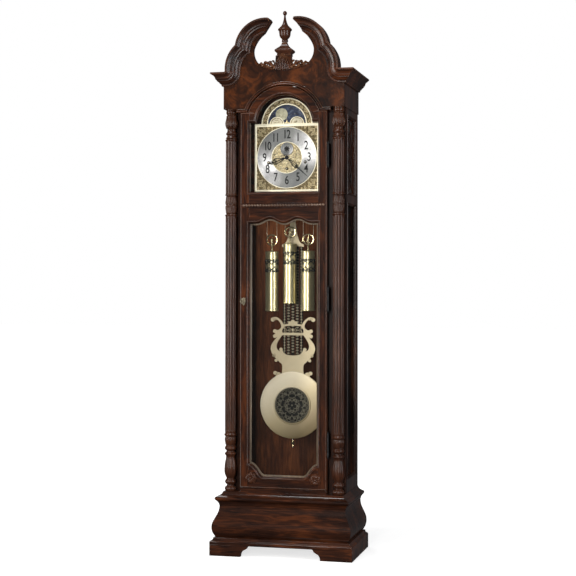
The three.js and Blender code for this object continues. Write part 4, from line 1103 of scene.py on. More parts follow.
def from_curve(curve, y, narrowed=1.0):
    """The part made by a filled, extruded curve, stood upright with its middle at Y."""
    holder = bpy.data.objects.new(curve.name, curve)
    bpy.context.scene.collection.objects.link(holder)
    mesh = bpy.data.meshes.new_from_object(holder.evaluated_get(bpy.context.evaluated_depsgraph_get()))
    points = [(v.co.x * narrowed, y - v.co.z, v.co.y) for v in mesh.vertices]
    faces = [tuple(p.vertices) for p in mesh.polygons]
    bpy.data.objects.remove(holder)
    bpy.data.curves.remove(curve)
    bpy.data.meshes.remove(mesh)
    return points, faces


def pierced(outline, holes, y0, y1):
    """A flat sheet with holes, from closed outlines in X and Z."""
    curve = bpy.data.curves.new("outline", "CURVE")
    curve.dimensions = "2D"
    curve.fill_mode = "BOTH"
    for loop in (outline, *holes):
        spline = curve.splines.new("POLY")
        spline.points.add(len(loop) - 1)
        for point, (x, z) in zip(spline.points, loop):
            point.co = (x, z, 0, 1)
        spline.use_cyclic_u = True
    curve.extrude = (y1 - y0) / 2
    return from_curve(curve, (y0 + y1) / 2)


def numeral(text, x, z, y):
    """A tall, narrow, bold numeral as a thin solid, centred on a point."""
    curve = bpy.data.curves.new("numeral", "FONT")
    curve.body = text
    curve.size = 53
    curve.align_x = "CENTER"
    curve.align_y = "CENTER"
    curve.extrude = 0.3
    curve.offset = 0.6
    curve.resolution_u = 4
    curve.space_character = 0.86
    return moved(from_curve(curve, 0, narrowed=0.72), (x, y, z))


def on_dial(r, degrees):
    return from_top(0, DIAL_Z, r, degrees)


def scroll_pair(x, z, size, y, start, thick):
    """Two curls springing from one stem, with a small leaf between them; start turns them clockwise."""
    parts = []
    for way in (1, -1):
        line = spiral(way * 0.42, 0.35, 0.44, 0.06, 90 - way * 100, way * 1.15, 18)
        stem = [(0, -0.5), (way * 0.05, -0.2)]
        points = [(px * size, 0, pz * size) for px, pz in stem + line]
        radii = [thick * (1.15 - 0.6 * k / len(points)) for k in range(len(points))]
        parts.append(tube(points, radii, 6, flat=0.9))
        parts.append(ball((way * 0.42 * size, 0, 0.35 * size), (thick * 1.25,) * 3, 6))
    parts.append(ball((0, 0, 0.55 * size), (thick * 1.1, thick, size * 0.2), 7))
    return moved(merged(*parts), (x, y, z), math.radians(start))


def spandrel():
    """Leafy scrollwork for the dial's upper right corner, between the ring and the border."""
    corner_x, corner_z = DIAL_HALF - 8, DIAL_Z + DIAL_HALF - 8
    y = DIAL_Y - 1.2
    # For each pair: how far in from the corner and down from it, size, turn and thickness.
    pairs = (
        (17, 17, 15, 225, 1.5), (5, 34, 11, 185, 1.2), (34, 5, 11, 265, 1.2), (7, 7, 10, 45, 1.3),
        (20, 36, 10, 300, 1.1), (36, 20, 10, 150, 1.1), (4, 52, 9, 180, 1.1), (52, 4, 9, 270, 1.1),
        (1, 68, 6, 180, 1.0), (68, 1, 6, 270, 1.0),
    )
    parts = [scroll_pair(corner_x - dx, corner_z - dz, size, y, turn, thick)
             for dx, dz, size, turn, thick in pairs]
    for degrees in np.linspace(12, 78, 9):
        x, z = on_dial(RING_OUTER + 5, degrees)
        if x < corner_x and z < corner_z:
            parts.append(ball((x, y, z), (1.9, 1.5, 1.9), 6))
    return merged(*parts)


def flipped_z(part, z):
    """The mirror image across a level plane."""
    points, faces = part
    p = np.array(points, float)
    p[:, 2] = 2 * z - p[:, 2]
    return p, [tuple(reversed(face)) for face in faces]


def dial_sheet():
    """The dial's sheet, pierced for the moon, the hands and the winding squares."""
    foot = math.degrees(math.asin(3 / ARCH_R))
    outline = [(-DIAL_HALF, DIAL_LOW[2]), (DIAL_HALF, DIAL_LOW[2]), (DIAL_HALF, MOON_Z + 3),
               *arc(0, MOON_Z, ARCH_R, foot, 180 - foot, 60), (-DIAL_HALF, MOON_Z + 3)]
    hump = arc(*HUMP, 0, 180, 28)
    window = [*arc(0, MOON_Z, MOON_R, 180, 0, 60), *hump, *[(-x, z) for x, z in reversed(hump)]]
    holes = [window, *[circle(x, z, 5, 20) for x, z in WINDING.values()], circle(0, DIAL_Z, 6.5, 24)]
    sheet = pierced(outline, holes, DIAL_Y, DIAL_Y + 2)
    add_piece("dial_sheet", sheet, SPANDREL, replaces=("dial_plate",), crease=30)


def dial_trim():
    """The spandrels in the corners and the raised borders."""
    upper = both(spandrel())
    add_piece("spandrels", merged(upper, flipped_z(upper, DIAL_Z)), CHASED, crease=50)

    frame_strip = [(0, 0.3), (0, 2.6), (1, 3.2), (7.4, 3.2), (8.4, 2.4), (9, 0.8), (9, 0.3)]
    square = rectangle(-DIAL_HALF + 0.2, DIAL_HALF - 0.2, DIAL_LOW[2] + 0.2, MOON_Z - 0.4)
    strips = [moulding(frame_strip, square, DIAL_Y, True)]
    strips.append(block(-DIAL_HALF + 1, DIAL_HALF - 1, DIAL_Y - 3.0, DIAL_Y - 0.3, MOON_Z - 9.6,
                        MOON_Z + 2.4))
    arch_strip = [(0, 0.3), (0, 2.2), (0.8, 2.8), (3.8, 2.8), (4.8, 1.8), (5, 0.3)]
    strips.append(moulding(arch_strip, arc(0, MOON_Z, ARCH_R - 0.4, 0.5, 179.5, 60), DIAL_Y))
    inner_strip = [(-u, out) for u, out in arch_strip[::-1]]
    strips.append(moulding(inner_strip, arc(0, MOON_Z, MOON_R + 0.2, 1, 179, 50), DIAL_Y))
    rim = [(-u * 0.8, out * 0.9) for u, out in arch_strip]
    for side in (-1, 1):
        strips.append(moulding(rim, arc(side * HUMP[0], HUMP[1], HUMP[2], 180, 0, 32)[::-1], DIAL_Y))
    add_piece("dial_borders", merged(*strips), PALE_BRASS, crease=40)


def arch_scrolls():
    """Scrollwork round the arch, large pairs pointing out and small ones pointing in."""
    parts = []
    for k, degrees in enumerate(range(-84, 85, 14)):
        x, z = from_top(0, MOON_Z, (ARCH_R + MOON_R) / 2, degrees)
        size, turn = (9, 180) if k % 2 else (13, 0)
        parts.append(scroll_pair(x, z, size, DIAL_Y - 1.2, degrees + turn, 1.2))
    for side in (-1, 1):
        parts.append(ball((side * 7, DIAL_Y - 1, MOON_Z + 6), (4, 1.6, 3), 7))
    parts.append(ball((0, DIAL_Y - 1, MOON_Z + 11), (3.4, 1.6, 8), 8))
    add_piece("arch_scrolls", merged(*parts), CHASED, crease=50)


def globes():
    """The two half globes beside the moon's window, with lands in random shapes and three meridians."""
    faces = []
    lands = []
    for side in (-1, 1):
        x, z, r = side * HUMP[0], HUMP[1], HUMP[2] - 3.5
        faces.append(plate(arc(x, z + 1.2, r, 0, 180, 30), DIAL_Y - 1.0, DIAL_Y - 0.2))
        for _ in range(5):
            cx, cz = x + rng.uniform(-0.6, 0.6) * r, z + 3 + rng.uniform(0.12, 0.62) * r
            blob = []
            for a in np.linspace(0, 2 * math.pi, 12)[:-1]:
                across, up = 3.4 + rng.uniform(-1.2, 1.8), 2.5 + rng.uniform(-1, 1.2)
                blob.append((cx + across * math.cos(a), cz + up * math.sin(a)))
            inside = [p for p in blob if math.hypot(p[0] - x, p[1] - z) < r - 1 and p[1] > z + 2]
            if len(inside) > 5:
                lands.append(plate(inside, DIAL_Y - 1.3, DIAL_Y - 1.0))
        for tilt in (-0.5, 0, 0.5):
            meridian = [(x + tilt * r * math.cos(a), DIAL_Y - 1.2, z + 1.4 + (r - 0.6) * math.sin(a))
                        for a in np.linspace(0, math.pi / 2, 10)]
            lands.append(tube(meridian, 0.28, 5))
    add_piece("globe_faces", merged(*faces), IVORY, crease=30)
    add_piece("globe_lands", merged(*lands), CAST, crease=30)


def chapter_ring():
    """The silvered ring with its rims, numerals and minute dots."""
    holes = [circle(0, DIAL_Z, RING_INNER, 90)]
    holes += [circle(*WINDING[train], 5, 20) for train in ("chime", "strike")]
    front = RING_LOW[1]
    ring = pierced(circle(0, DIAL_Z, RING_OUTER, 128), holes, front, RING_HIGH[1])
    add_piece("silvered_ring", ring, SILVER, replaces=("chapter_ring",), crease=30)
    edge = [(0, 0), (0, 1.2), (0.6, 1.6), (1.8, 1.6), (2.4, 1.2), (2.4, 0)]
    rings = [moulding(edge, circle(0, DIAL_Z, r, 120), front, True)
             for r in (RING_OUTER + 0.8, RING_INNER + 1.8)]
    add_piece("ring_rims", merged(*rings), PALE_BRASS, crease=35)

    ink = [numeral(str(hour), *on_dial(100, 30 * hour), front - 0.35) for hour in range(1, 13)]
    for minute in range(60):
        x, z = on_dial(RING_OUTER - 6.5, 6 * minute)
        r = 0.8 if minute % 5 else 1.5
        ink.append(plate(circle(x, z, r, 10), front - 0.5, front - 0.05))
    for x, z in (WINDING["chime"], WINDING["strike"]):
        ink.append(moulding([(0, 0), (0, 0.4), (0.9, 0.4), (0.9, 0)], circle(x, z, 7, 28), front, True))
    add_piece("numerals", merged(*ink), BLACK, crease=20)


def dial_centre():
    """Scrollwork inside the ring, the silvered boss above the hands, and the winding holes' rims."""
    centre = []
    for radius, size, count, turn in ((32, 13, 8, 0), (44, 13, 10, 180), (57, 12, 14, 0)):
        for k in range(count):
            degrees = 360 * (k + 0.5) / count
            centre.append(scroll_pair(*on_dial(radius, degrees), size, DIAL_Y - 1.4, degrees + turn, 1.3))
    for degrees in range(0, 360, 18):
        x, z = on_dial(20, degrees)
        centre.append(ball((x, DIAL_Y - 1, z), (1.7, 1.2, 1.7), 6))
    add_piece("dial_centre", merged(*centre), CHASED, crease=50)
    holes = [circle(0, DIAL_Z, 6.6, 20), circle(*WINDING["going"], 5, 20)]
    disc = pierced(circle(0, DIAL_Z, RING_INNER - 1.2, 90), holes, DIAL_Y - 0.7, DIAL_Y - 0.1)
    add_piece("centre_disc", disc, CAST, crease=30)

    boss_z = DIAL_Z + 38
    domed = [(0, 2.6), (16, 2.6), (18, 3.4), (20, 3.4), (21, 2.4), (24, 2.2), (26, 3), (28, 2.4), (28.6, 0),
             (0, 0)]
    add_piece("boss_disc", lathe_y(domed, 64, (0, DIAL_Y - 1, boss_z)), SILVER, crease=35)
    petal = ball((0, 0, 8), (2.6, 0.9, 5.6), 8)
    rose = [moved(petal, (0, DIAL_Y - 3.7, boss_z), math.radians(45 * k)) for k in range(8)]
    rose.append(ball((0, DIAL_Y - 4, boss_z), (3.2, 1.4, 3.2), 8))
    add_piece("boss_rosette", merged(*rose), FILIGREE_BED, crease=0)

    eyelets = []
    for x, z in WINDING.values():
        face_y = DIAL_Y - (1.5 if x else 0.8)
        eyelets.append(moulding([(0, 0), (0, 1), (1.4, 1), (1.6, 0)], circle(x, z, 6.4, 24), face_y, True))
    add_piece("winding_eyelets", merged(*eyelets), BRASS, crease=35)


def moon_disc():
    """The turning disc: painted sky, stars at random and two moon faces opposite each other."""
    low, high = mm_box("moon_disc")
    centre_z, r, y = (low[2] + high[2]) / 2, high[0], low[1]
    sheet = pierced(circle(0, centre_z, r, 96), [circle(0, centre_z, 3.5, 16)], y, high[1])
    add_piece("painted_moon_disc", sheet, SKY, "moon_disc", replaces=("moon_disc",), crease=30)
    stars = []
    for _ in range(130):
        a, radius = rng.uniform(0, 2 * math.pi), r * math.sqrt(rng.uniform(0.06, 0.94))
        size = rng.choice((0.5, 0.6, 0.8, 1.5))
        x, z = radius * math.cos(a), centre_z + radius * math.sin(a)
        star = []
        for i in range(10):
            reach = size if i % 2 else 0.42 * size
            star.append((x + reach * math.cos(math.pi * i / 5), z + reach * math.sin(math.pi * i / 5)))
        stars.append(plate(star, y - 0.25, y - 0.02))
    add_piece("moon_disc_stars", merged(*stars), IVORY, "moon_disc", crease=0)

    round_face = lathe_y([(0, 1.7), (8, 1.6), (16, 1.2), (22, 0.8), (26, 0.3), (27, 0), (0, 0)], 48)
    nose = ball((0, -1.5, 1), (1.6, 1.1, 5), 8)
    cheeks = both(ball((8, -1, -5), (4.4, 0.9, 3.6), 8))
    chin = ball((0, -1.2, -15), (4, 0.8, 2.6), 8)
    face = merged(round_face, nose, cheeks, chin)
    brow = [(3.4 + 4.4 * t, -1.9, 7.4 + 2.2 * math.sin(math.pi * t)) for t in np.linspace(0, 1, 8)]
    lid = [(3.6 + 4 * t, -1.9, 3.4 + 1.3 * math.sin(math.pi * t)) for t in np.linspace(0, 1, 8)]
    mouth = [(-4.4 + 8.8 * t, -1.95, -8.6 - 1.2 * math.sin(math.pi * t)) for t in np.linspace(0, 1, 10)]
    eyes = both(ball((5.6, -1.75, 3), (1, 0.3, 0.9), 6))
    lines = merged(both(tube(brow, 0.45, 6)), both(tube(lid, 0.42, 6)), tube(mouth, 0.45, 6), eyes)
    faces = []
    features = []
    for degrees in (-24, 156):
        x, z = from_top(0, centre_z, 61, degrees)
        faces.append(moved(face, (x, y, z), math.radians(degrees)))
        features.append(moved(lines, (x, y, z), math.radians(degrees)))
    add_piece("moon_faces", merged(*faces), MOON, "moon_disc", crease=0)
    add_piece("moon_features", merged(*features), CAST, "moon_disc", crease=0)


def scrolled_blade(length, wide, start, y, where=0.42, bold=1.0):
    """A pierced, scrolling hand drawn pointing up: where is the scrolls' place along it, bold its weight."""
    bars = []
    mid = start + (length - start) * where
    for way in (1, -1):
        loop = [(0, start), (way * wide * 0.5, start + (mid - start) * 0.35), (way * wide, mid - 4),
                (way * wide * 0.55, mid + wide * 0.55), (0, mid + wide * 1.15)]
        bars.append(tube(flat_path(smooth_line(loop, 6), y), 1.25 * bold, 8, flat=0.6))
        curl = spiral(way * wide * 0.52, mid, wide * 0.46, 0.8, 90 - way * 90, -way * 1.1, 18)
        bars.append(tube(flat_path(curl, y), 0.95 * bold, 8, flat=0.6))
        barb = [(0, mid + wide * 1.1), (way * wide * 0.5, mid + wide * 1.25),
                (way * wide * 0.42, mid + wide * 1.7), (0, mid + wide * 1.9)]
        bars.append(tube(flat_path(smooth_line(barb, 5), y), 0.9 * bold, 8, flat=0.6))
    point = [(0, start - 2), (0, mid - wide), (0, mid + wide * 1.1), (0, mid + (length - mid) * 0.8),
             (0, length)]
    bars.append(tube(flat_path(point, y), [1.7 * bold, 1.2 * bold, 1.9 * bold, 1.5, 0.35], 8, flat=0.5))
    return merged(*bars)


def hands():
    """The hour and minute hands at the time shown, with their hub, pipe, nut and arbor."""
    hour_y = mm_box("hour_hand")[0][1]
    minute_y = mm_box("minute_hand")[0][1]
    hour_angle = math.radians(30 * (HOUR_SHOWN + MINUTE_SHOWN / 60))
    minute_angle = math.radians(6 * MINUTE_SHOWN)
    hour = scrolled_blade(93, 12, 8, 0.5, 0.56, 1.35)
    hub = lathe_y([(3.2, 0), (9, 0), (9.4, -1), (8.4, -1.6), (6.4, -2.2), (3.2, -2.2), (3.2, 0)], 32,
                  (0, 0.9, 0))
    pipe = lathe_y([(3.7, -1), (5.7, -1), (5.7, -20.5), (3.7, -20.5), (3.7, -1)], 24)
    hour_solid = moved(merged(hour, hub, pipe), (0, hour_y, DIAL_Z), hour_angle)
    add_piece("hour_hand_scrolled", hour_solid, BLACK, "hour_hand", replaces=("hour_hand",), crease=35)
    minute = scrolled_blade(126, 8, 8, 2.2)
    tail = tube([(0, 2.2, -18), (0, 2.2, -9), (0, 2.2, 0)], [2.6, 1.1, 1.6], 8, flat=0.5)
    nut_profile = [(0, 2.2), (2.2, 2.2), (3.4, 1.4), (4, 0.6), (6.6, 0), (7, -1.2), (6.4, -2.2), (0, -2.2)]
    nut = lathe_y(nut_profile, 32, (0, 2.2, 0))
    arbor = lathe_y([(0, 0), (2.8, 0), (2.8, -24), (0, -24)], 16, (0, 2.6, 0))
    minute_solid = moved(merged(minute, tail, nut, arbor), (0, minute_y, DIAL_Z), minute_angle)
    add_piece("minute_hand_scrolled", minute_solid, BLACK, "minute_hand", replaces=("minute_hand",),
              crease=35)


# ---------------------------------------------------------------- weights, pulleys and cables
ROPE_R = 22.5
CABLE_R = 0.8
WEIGHT_TALL = 264
PULLEY_ABOVE = 50


def band_scrolls(x, y, r, z, count, size):
    """Filigree scrolls bent round a cylinder."""
    parts = []
    for k in range(count):
        for row in (-1, 1):
            points, faces = scroll_pair(0, row * size * 0.62, size, 0, 0 if row > 0 else 180, 1.9)
            a = 2 * math.pi * (k + 0.25 * row) / count
            bent = []
            for px, py, pz in points:
                angle = a + px / r
                radius = r - py
                bent.append((x + radius * math.sin(angle), y - radius * math.cos(angle), z + pz))
            parts.append((bent, faces))
    return merged(*parts)


def weight(train):
    """One train's weight with its band, its pulley, and the cable from the seat board down and round."""
    body = f"{train}_weight"
    low, high = mm_box(body)
    x, y = (low[0] + high[0]) / 2, (low[1] + high[1]) / 2
    r = (high[0] - low[0]) / 2
    bottom = low[2]
    top = bottom + WEIGHT_TALL
    axis = top + PULLEY_ABOVE
    band_high, band_low = top - 35, top - 92
    outline = [(0, bottom), (5, bottom), (6, bottom + 1), (r - 4, bottom + 1), (r - 1.4, bottom + 1.6),
               (r - 0.4, bottom + 3), (r - 0.4, bottom + 8), (r - 1.6, bottom + 9), (r - 1.6, band_low - 3),
               (r - 0.6, band_low - 2), (r - 0.6, band_low), (r - 2.4, band_low + 0.4),
               (r - 2.4, band_high - 0.4), (r - 0.6, band_high), (r - 0.6, band_high + 2),
               (r - 1.6, band_high + 3), (r - 1.6, top - 9), (r - 0.4, top - 8), (r - 0.4, top - 3),
               (r - 1.4, top - 1), (r - 4, top), (9, top), (7, top + 2), (0, top + 2)]
    shell_part = lathe(outline, 64, (x, y, 0))
    stem = lathe([(0, top), (6, top + 1), (6.4, top + 3), (3, top + 6), (2.6, top + 10), (4, top + 12),
                  (2.6, top + 14), (2.6, axis - 27), (0, axis - 27)], 24, (x, y, 0))
    arms = []
    for side in (-1, 1):
        arm_y = y + side * 6.3
        arm = [(x, y, axis - 30), (x, y + side * 4, axis - 29), (x, arm_y, axis - 24), (x, arm_y, axis + 4)]
        arms.append(tube(smooth_line(arm, 4), 1.5, 10))
        arms.append(lathe_y([(0, 1.1), (3.4, 1.1), (3.4, -1.1), (0, -1.1)], 16, (x, arm_y, axis)))
    axle = lathe_y([(0, 7), (1.8, 7), (1.8, -7), (0, -7)], 14, (x, y, axis))
    solid = merged(shell_part, stem, axle, *arms)
    add_piece(f"{train}_shell", solid, TUBE_BRASS, body, replaces=(body,), crease=35)
    scrolls = band_scrolls(x, y, r - 1.4, (band_low + band_high) / 2, 7, 21)
    add_piece(f"{train}_band", scrolls, OPENWORK, body, crease=0)

    pulley = [(ROPE_R - 2.6, -2.2), (ROPE_R - 2.4, -3.6), (ROPE_R + 1.4, -4), (ROPE_R + 3, -3.4),
              (ROPE_R + 2.4, -2), (ROPE_R - 1.1, -0.9), (ROPE_R - 1.1, 0.9), (ROPE_R + 2.4, 2),
              (ROPE_R + 3, 3.4), (ROPE_R + 1.4, 4), (ROPE_R - 2.4, 3.6), (ROPE_R - 2.6, 2.2),
              (ROPE_R - 2.6, -2.2)]
    rim = lathe_y(pulley, 64, (x, y, axis))
    hub = lathe_y([(2.2, 4), (6, 4), (6.6, 3), (6.6, -3), (6, -4), (2.2, -4), (2.2, 4)], 28, (x, y, axis))
    spokes = []
    for k in range(5):
        a = 2 * math.pi * k / 5
        line = [(x + s * math.sin(a + 0.01 * s), y, axis + s * math.cos(a + 0.01 * s))
                for s in (5, 10, 15, 20.6)]
        spokes.append(tube(line, [2.2, 1.5, 1.5, 2.4], 8))
    wheel = merged(rim, hub, *spokes)
    add_piece(f"{train}_wheel", wheel, BRASS, f"{train}_pulley", replaces=(f"{train}_pulley",), crease=35)

    cable_top = mm_box(f"{train}_cable")[1][2]
    under = tube(flat_path(arc(x, axis, ROPE_R, 180, 360, 39), y), CABLE_R, 8)
    add_piece(f"{train}_cable_turn", under, CABLE, body, replaces=(f"{train}_cable",), crease=60)
    drum_z = WINDING[train][1]
    for side, word in ((-1, "left"), (1, "right")):
        fall = tube([(x + side * ROPE_R, y, z) for z in np.linspace(axis, cable_top, 12)], CABLE_R, 8)
        obj = add_piece(f"{train}_fall_{word}", fall, CABLE, None, crease=60)
        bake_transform(obj)
    hook = tube([(x - ROPE_R, y, z) for z in (cable_top - 3, cable_top + 4)], 2.4, 12)
    rise = tube([(x + ROPE_R, y, cable_top - 0.1), (x + ROPE_R, y, drum_z)], CABLE_R, 8)
    add_piece(f"{train}_cable_ends", merged(hook, rise), CABLE, crease=60)


def drums():
    """The cable wound on each drum, and the squares that a crank would turn."""
    turns, coil_y, coil_long = 13, -30, 26
    for train, (x, z) in WINDING.items():
        node = f"{train}_drum"
        front = mm_box(node)[0][1]
        helix = []
        for t in np.linspace(0, 1, 24 * turns):
            a = 2 * math.pi * turns * t
            helix.append((x + ROPE_R * math.cos(a), coil_y + coil_long * t, z + ROPE_R * math.sin(a)))
        add_piece(f"{train}_coil", tube(helix, 0.75, 6), CABLE, node, crease=60)
        square = block(x - 2.1, x + 2.1, front - 3, front + 6, z - 2.1, z + 2.1)
        add_piece(f"{train}_winding_square", square, STEEL, node, bevel=0.3)


# ---------------------------------------------------------------- pendulum
ROD_LOW, ROD_HIGH = mm_box("pendulum_rod")
BOB_LOW, BOB_HIGH = mm_box("pendulum_bob")
PLATE_Y = (ROD_LOW[1] + ROD_HIGH[1]) / 2
BOB_Z = (BOB_LOW[2] + BOB_HIGH[2]) / 2
BOB_R = BOB_HIGH[0]


def lyre():
    """The brass sheet lyre's right half, as outlines from the bob's neck to the grid's top."""
    neck = smooth_line([(52, 752), (49, 775), (48, 800), (51, 812), (60, 819)], 5)
    lower = smooth_line([(60, 819), (72, 832), (88, 848), (98, 866), (101, 882), (94, 903), (78, 923),
                         (72, 932)], 6)
    leaf_low = arc(82, 935, 8.5, 215, 400, 14)
    leaf_high = arc(82, 957, 8.5, -40, 145, 14)
    upper = smooth_line([(66, 962), (56, 970), (53, 980), (58, 994), (66, 1004), (74, 1008), (82, 1007)], 5)
    tip = arc(92, 1008, 9, 190, 440, 18)
    crown = smooth_line([(86, 1019), (74, 1019), (62, 1012), (52, 1003), (47, 995)], 5)
    inner_top = smooth_line([(47, 995), (40, 985), (39, 976), (44, 968), (48, 962), (48, 952), (44, 946)], 4)
    inner = smooth_line([(44, 946), (58, 926), (70, 906), (74, 888), (68, 874), (58, 868)], 6)
    curl = arc(54, 876, 8, -60, 200, 16)
    foot = smooth_line([(44, 868), (38, 858), (20, 852), (0, 850)], 5)
    return [*neck, *lower[1:], *leaf_low, (78, 946), *leaf_high, *upper, *tip, *crown,
            *inner_top[1:], *inner[1:], *curl, *foot]


def add_to_pendulum(name, part, look, **more):
    return add_piece(name, part, look, "pendulum", **more)


def pendulum_frame():
    """The lyre, its cross bars and stick, and the grid of thin rods between them."""
    y0, y1 = ROD_LOW[1], ROD_HIGH[1]
    curls = [both(plate(circle(x, z, r, 24), y0 - 0.1, y1 + 0.1))
             for x, z, r in ((80, 772, 8.5), (66, 764, 12), (76, 828, 7))]
    sheet = merged(plate(symmetric(lyre()), y0, y1), *curls)
    add_to_pendulum("lyre_plate", sheet, ANTIQUE, replaces=("pendulum_rod",), bevel=0.5)

    bars = []
    for z, rise, width in ((945, 0, 12), (981, 5, 9), (1334, 4, 10)):
        line = [(x, z + rise * math.cos(math.pi * x / 100)) for x in np.linspace(-50, 50, 21)]
        strip = [(-width / 2, -1.4), (-width / 2, 1.2), (width / 2, 1.2), (width / 2, -1.4)]
        bars.append(moulding(strip, line, PLATE_Y))
    flare = [(12, 1450), (13, 1430), (17, 1402), (21, 1380), (27, 1360), (35, 1347), (46, 1342), (49, 1334)]
    stick = symmetric([(5, ROD_HIGH[2]), (5, 1702), (12, 1690), *smooth_line(flare, 5)])
    bars.append(pierced(stick, [circle(0, 1660, 3, 16)], y0, y1))
    add_to_pendulum("pendulum_bars", merged(*bars), ANTIQUE, bevel=0.4)

    pitch = 12.6
    thin = []
    for x in (-38, 38):
        thin.append(tube([(x, PLATE_Y, z) for z in (852, 1100, 1334)], 0.7, 8))
        for z in np.arange(857, 1330, pitch):
            thin.append(ball((x, PLATE_Y, z), (4.2, 2.2, 3.3), 6))
            thin.append(ball((x, PLATE_Y, z + pitch / 2), (2.2, 1.8, 1.4), 6))
    for x, foot in ((-20, 860), (0, 860 + pitch / 2), (20, 860)):
        for z in np.arange(foot, 1326, pitch):
            link = [(x + 5.6, PLATE_Y, z), (x, PLATE_Y, z + 2.6), (x - 5.6, PLATE_Y, z),
                    (x, PLATE_Y, z - 2.6)]
            thin.append(tube(link, 1.3, 6, True))
    add_to_pendulum("pendulum_grid", merged(*thin), ANTIQUE, crease=0)
    # Dark strips behind the chains blacken the gaps between the beads: partly a dark backing, partly painted
    # shade.
    shade_strips = [block(x - 7, x + 7, PLATE_Y + 1.2, PLATE_Y + 1.8, 853, 1332) for x in (-38, -20, 0, 20, 38)]
    add_to_pendulum("pendulum_grid_shade_bed", merged(*shade_strips), FILIGREE_BED)
    curls = ((88, 850, 9, 120, 1.1), (84, 1008, 8, 200, -1.1), (15, 962, 9, 90, 1.1),
             (33, 963, 7, 270, -1.0))
    scrolls = [both(tube(flat_path(spiral(x, z, r, 1.5, a, t), y0 - 1.2), 1.7, 8))
               for x, z, r, a, t in curls]
    round_lobes = ((-13, 993, 8), (0, 1000, 8.5), (13, 993, 8), (0, 963, 5))
    lobes = [plate(circle(x, z, r, 20), y0 - 0.4, y1) for x, z, r in round_lobes]
    add_to_pendulum("lyre_scrolls", merged(*scrolls, *lobes), ANTIQUE, crease=30)


def bob():
    """The domed bob, the filigree medallion on its dark bed, and the rating nut on its threaded tail."""
    back = BOB_HIGH[1]
    rim = [(0, 0), (BOB_R - 3, 0), (BOB_R - 0.6, 1.2), (BOB_R, 3), (BOB_R - 1.4, 4.6)]
    domed = smooth_line([(BOB_R - 1.4, 4.6), (132, 7.4), (112, 9.8), (96, 11), (85, 11.4)], 6)
    inner = [(84, 12.8), (82, 14.2), (80, 14.4), (78.5, 12.4), (78, 11), (0, 11)]
    turned = lathe_y(rim + domed[1:] + inner, 128, (0, back, BOB_Z))
    add_to_pendulum("bob", turned, BOB_BRASS, replaces=("pendulum_bob",), crease=40)
    bed_y = back - 11.2
    bed = lathe_y([(0, 0.4), (77.6, 0.4), (77.6, -0.2), (0, -0.2)], 64, (0, bed_y, BOB_Z))
    add_to_pendulum("medallion_bed", bed, FILIGREE_BED)
    parts = []
    for ring_r, size, count, spin in ((22, 19, 5, 0), (54, 27, 9, 20)):
        for k in range(count):
            degrees = 360 * k / count + spin
            x, z = from_top(0, BOB_Z, ring_r, degrees)
            parts.append(scroll_pair(x, z, size, bed_y - 1.6, degrees, 1.0))
            degrees += 180 / count
            x, z = from_top(0, BOB_Z, ring_r + 6, degrees)
            parts.append(scroll_pair(x, z, size * 0.6, bed_y - 1.4, degrees + 180, 0.85))
    beads = 88
    for k in range(beads):
        x, z = from_top(0, BOB_Z, 75, 360 * k / beads)
        parts.append(ball((x, bed_y - 1.2, z), (1.7, 1.5, 1.7), 5))
    parts.append(ball((0, bed_y - 1, BOB_Z), (4, 2, 4), 10))
    add_to_pendulum("medallion", merged(*parts), FILIGREE, crease=0)

    nut_low, nut_high = (corner[2] for corner in mm_box("rating_nut"))
    foot, axis = nut_low + 6, (0, PLATE_Y, 0)
    thread_low, thread_high = ROD_LOW[2], BOB_Z - BOB_R + 8
    tail = lathe([(0, thread_low), (2.2, thread_low), (2.2, thread_high), (0, thread_high)], 16, axis)
    add_to_pendulum("pendulum_tail", tail, STEEL)
    nut = [(2.6, foot), (6, foot), (7.5, nut_low + 8), (7.5, nut_low + 14), (5, nut_low + 17),
           (4.2, nut_low + 21), (5.4, nut_low + 23), (4, nut_high - 2), (2.6, nut_high), (2.6, foot)]
    tip = [(0, foot), (0, nut_low - 8), (3.4, nut_low - 6), (2.4, nut_low - 3), (3.6, nut_low + 2),
           (2.3, foot)]

    def knurl(a, r, h):
        return r * (1 - 0.05 * (1 + math.cos(24 * a))) if r > 7 else r

    solid = merged(lathe(nut, 96, axis, knurl), lathe(tip, 20, axis))
    add_to_pendulum("rating_nut_turned", solid, BRASS, replaces=("rating_nut",))


# ---------------------------------------------------------------- carried-over CAD nodes
# The look and bevel of nodes whose slot alone doesn't give them.
CARRIED = {
    "back_panel": (BACK_WOOD, 0), "top_board": (BOARD_WOOD, 0.8), "seat_board": (BOARD_WOOD, 0.8),
    "side_panel_left": (WOOD_Z, 0.8), "side_panel_right": (WOOD_Z, 0.8),
    "corner_post_left": (SHADED_WOOD, 0.8), "corner_post_right": (SHADED_WOOD, 0.8),
    "door_stile_left": (WOOD_Z, 0.6), "door_stile_right": (WOOD_Z, 0.6),
    "side_glass_left": (GLASS, 0), "side_glass_right": (GLASS, 0), "dial_glass": (GLASS, 0),
    "pendulum_glass": (GLASS, 0),
}
BY_SLOT = {"cherry_wood": WOOD_X, "burl_veneer": BURL, "clear_glass": GLASS, "case_board": BOARD_WOOD,
           "polished_brass": BRASS, "satin_brass": ANTIQUE, "steel": STEEL, "silvered_metal": SILVER,
           "blackened_steel": BLACK, "painted_dial": SKY, "cable_steel": CABLE}


def dress_cad_nodes():
    """Gives every CAD node a look and a small bevel: its own, or else its material slot's."""
    slots = {row["node"]: row["material_slot"] for row in frame["record"]["subparts"]}
    for node, obj in frame["nodes"].items():
        look, bevel = CARRIED.get(node, (BY_SLOT[slots[node]], 0.4))
        dress(obj, look, crease=30, bevel=bevel)


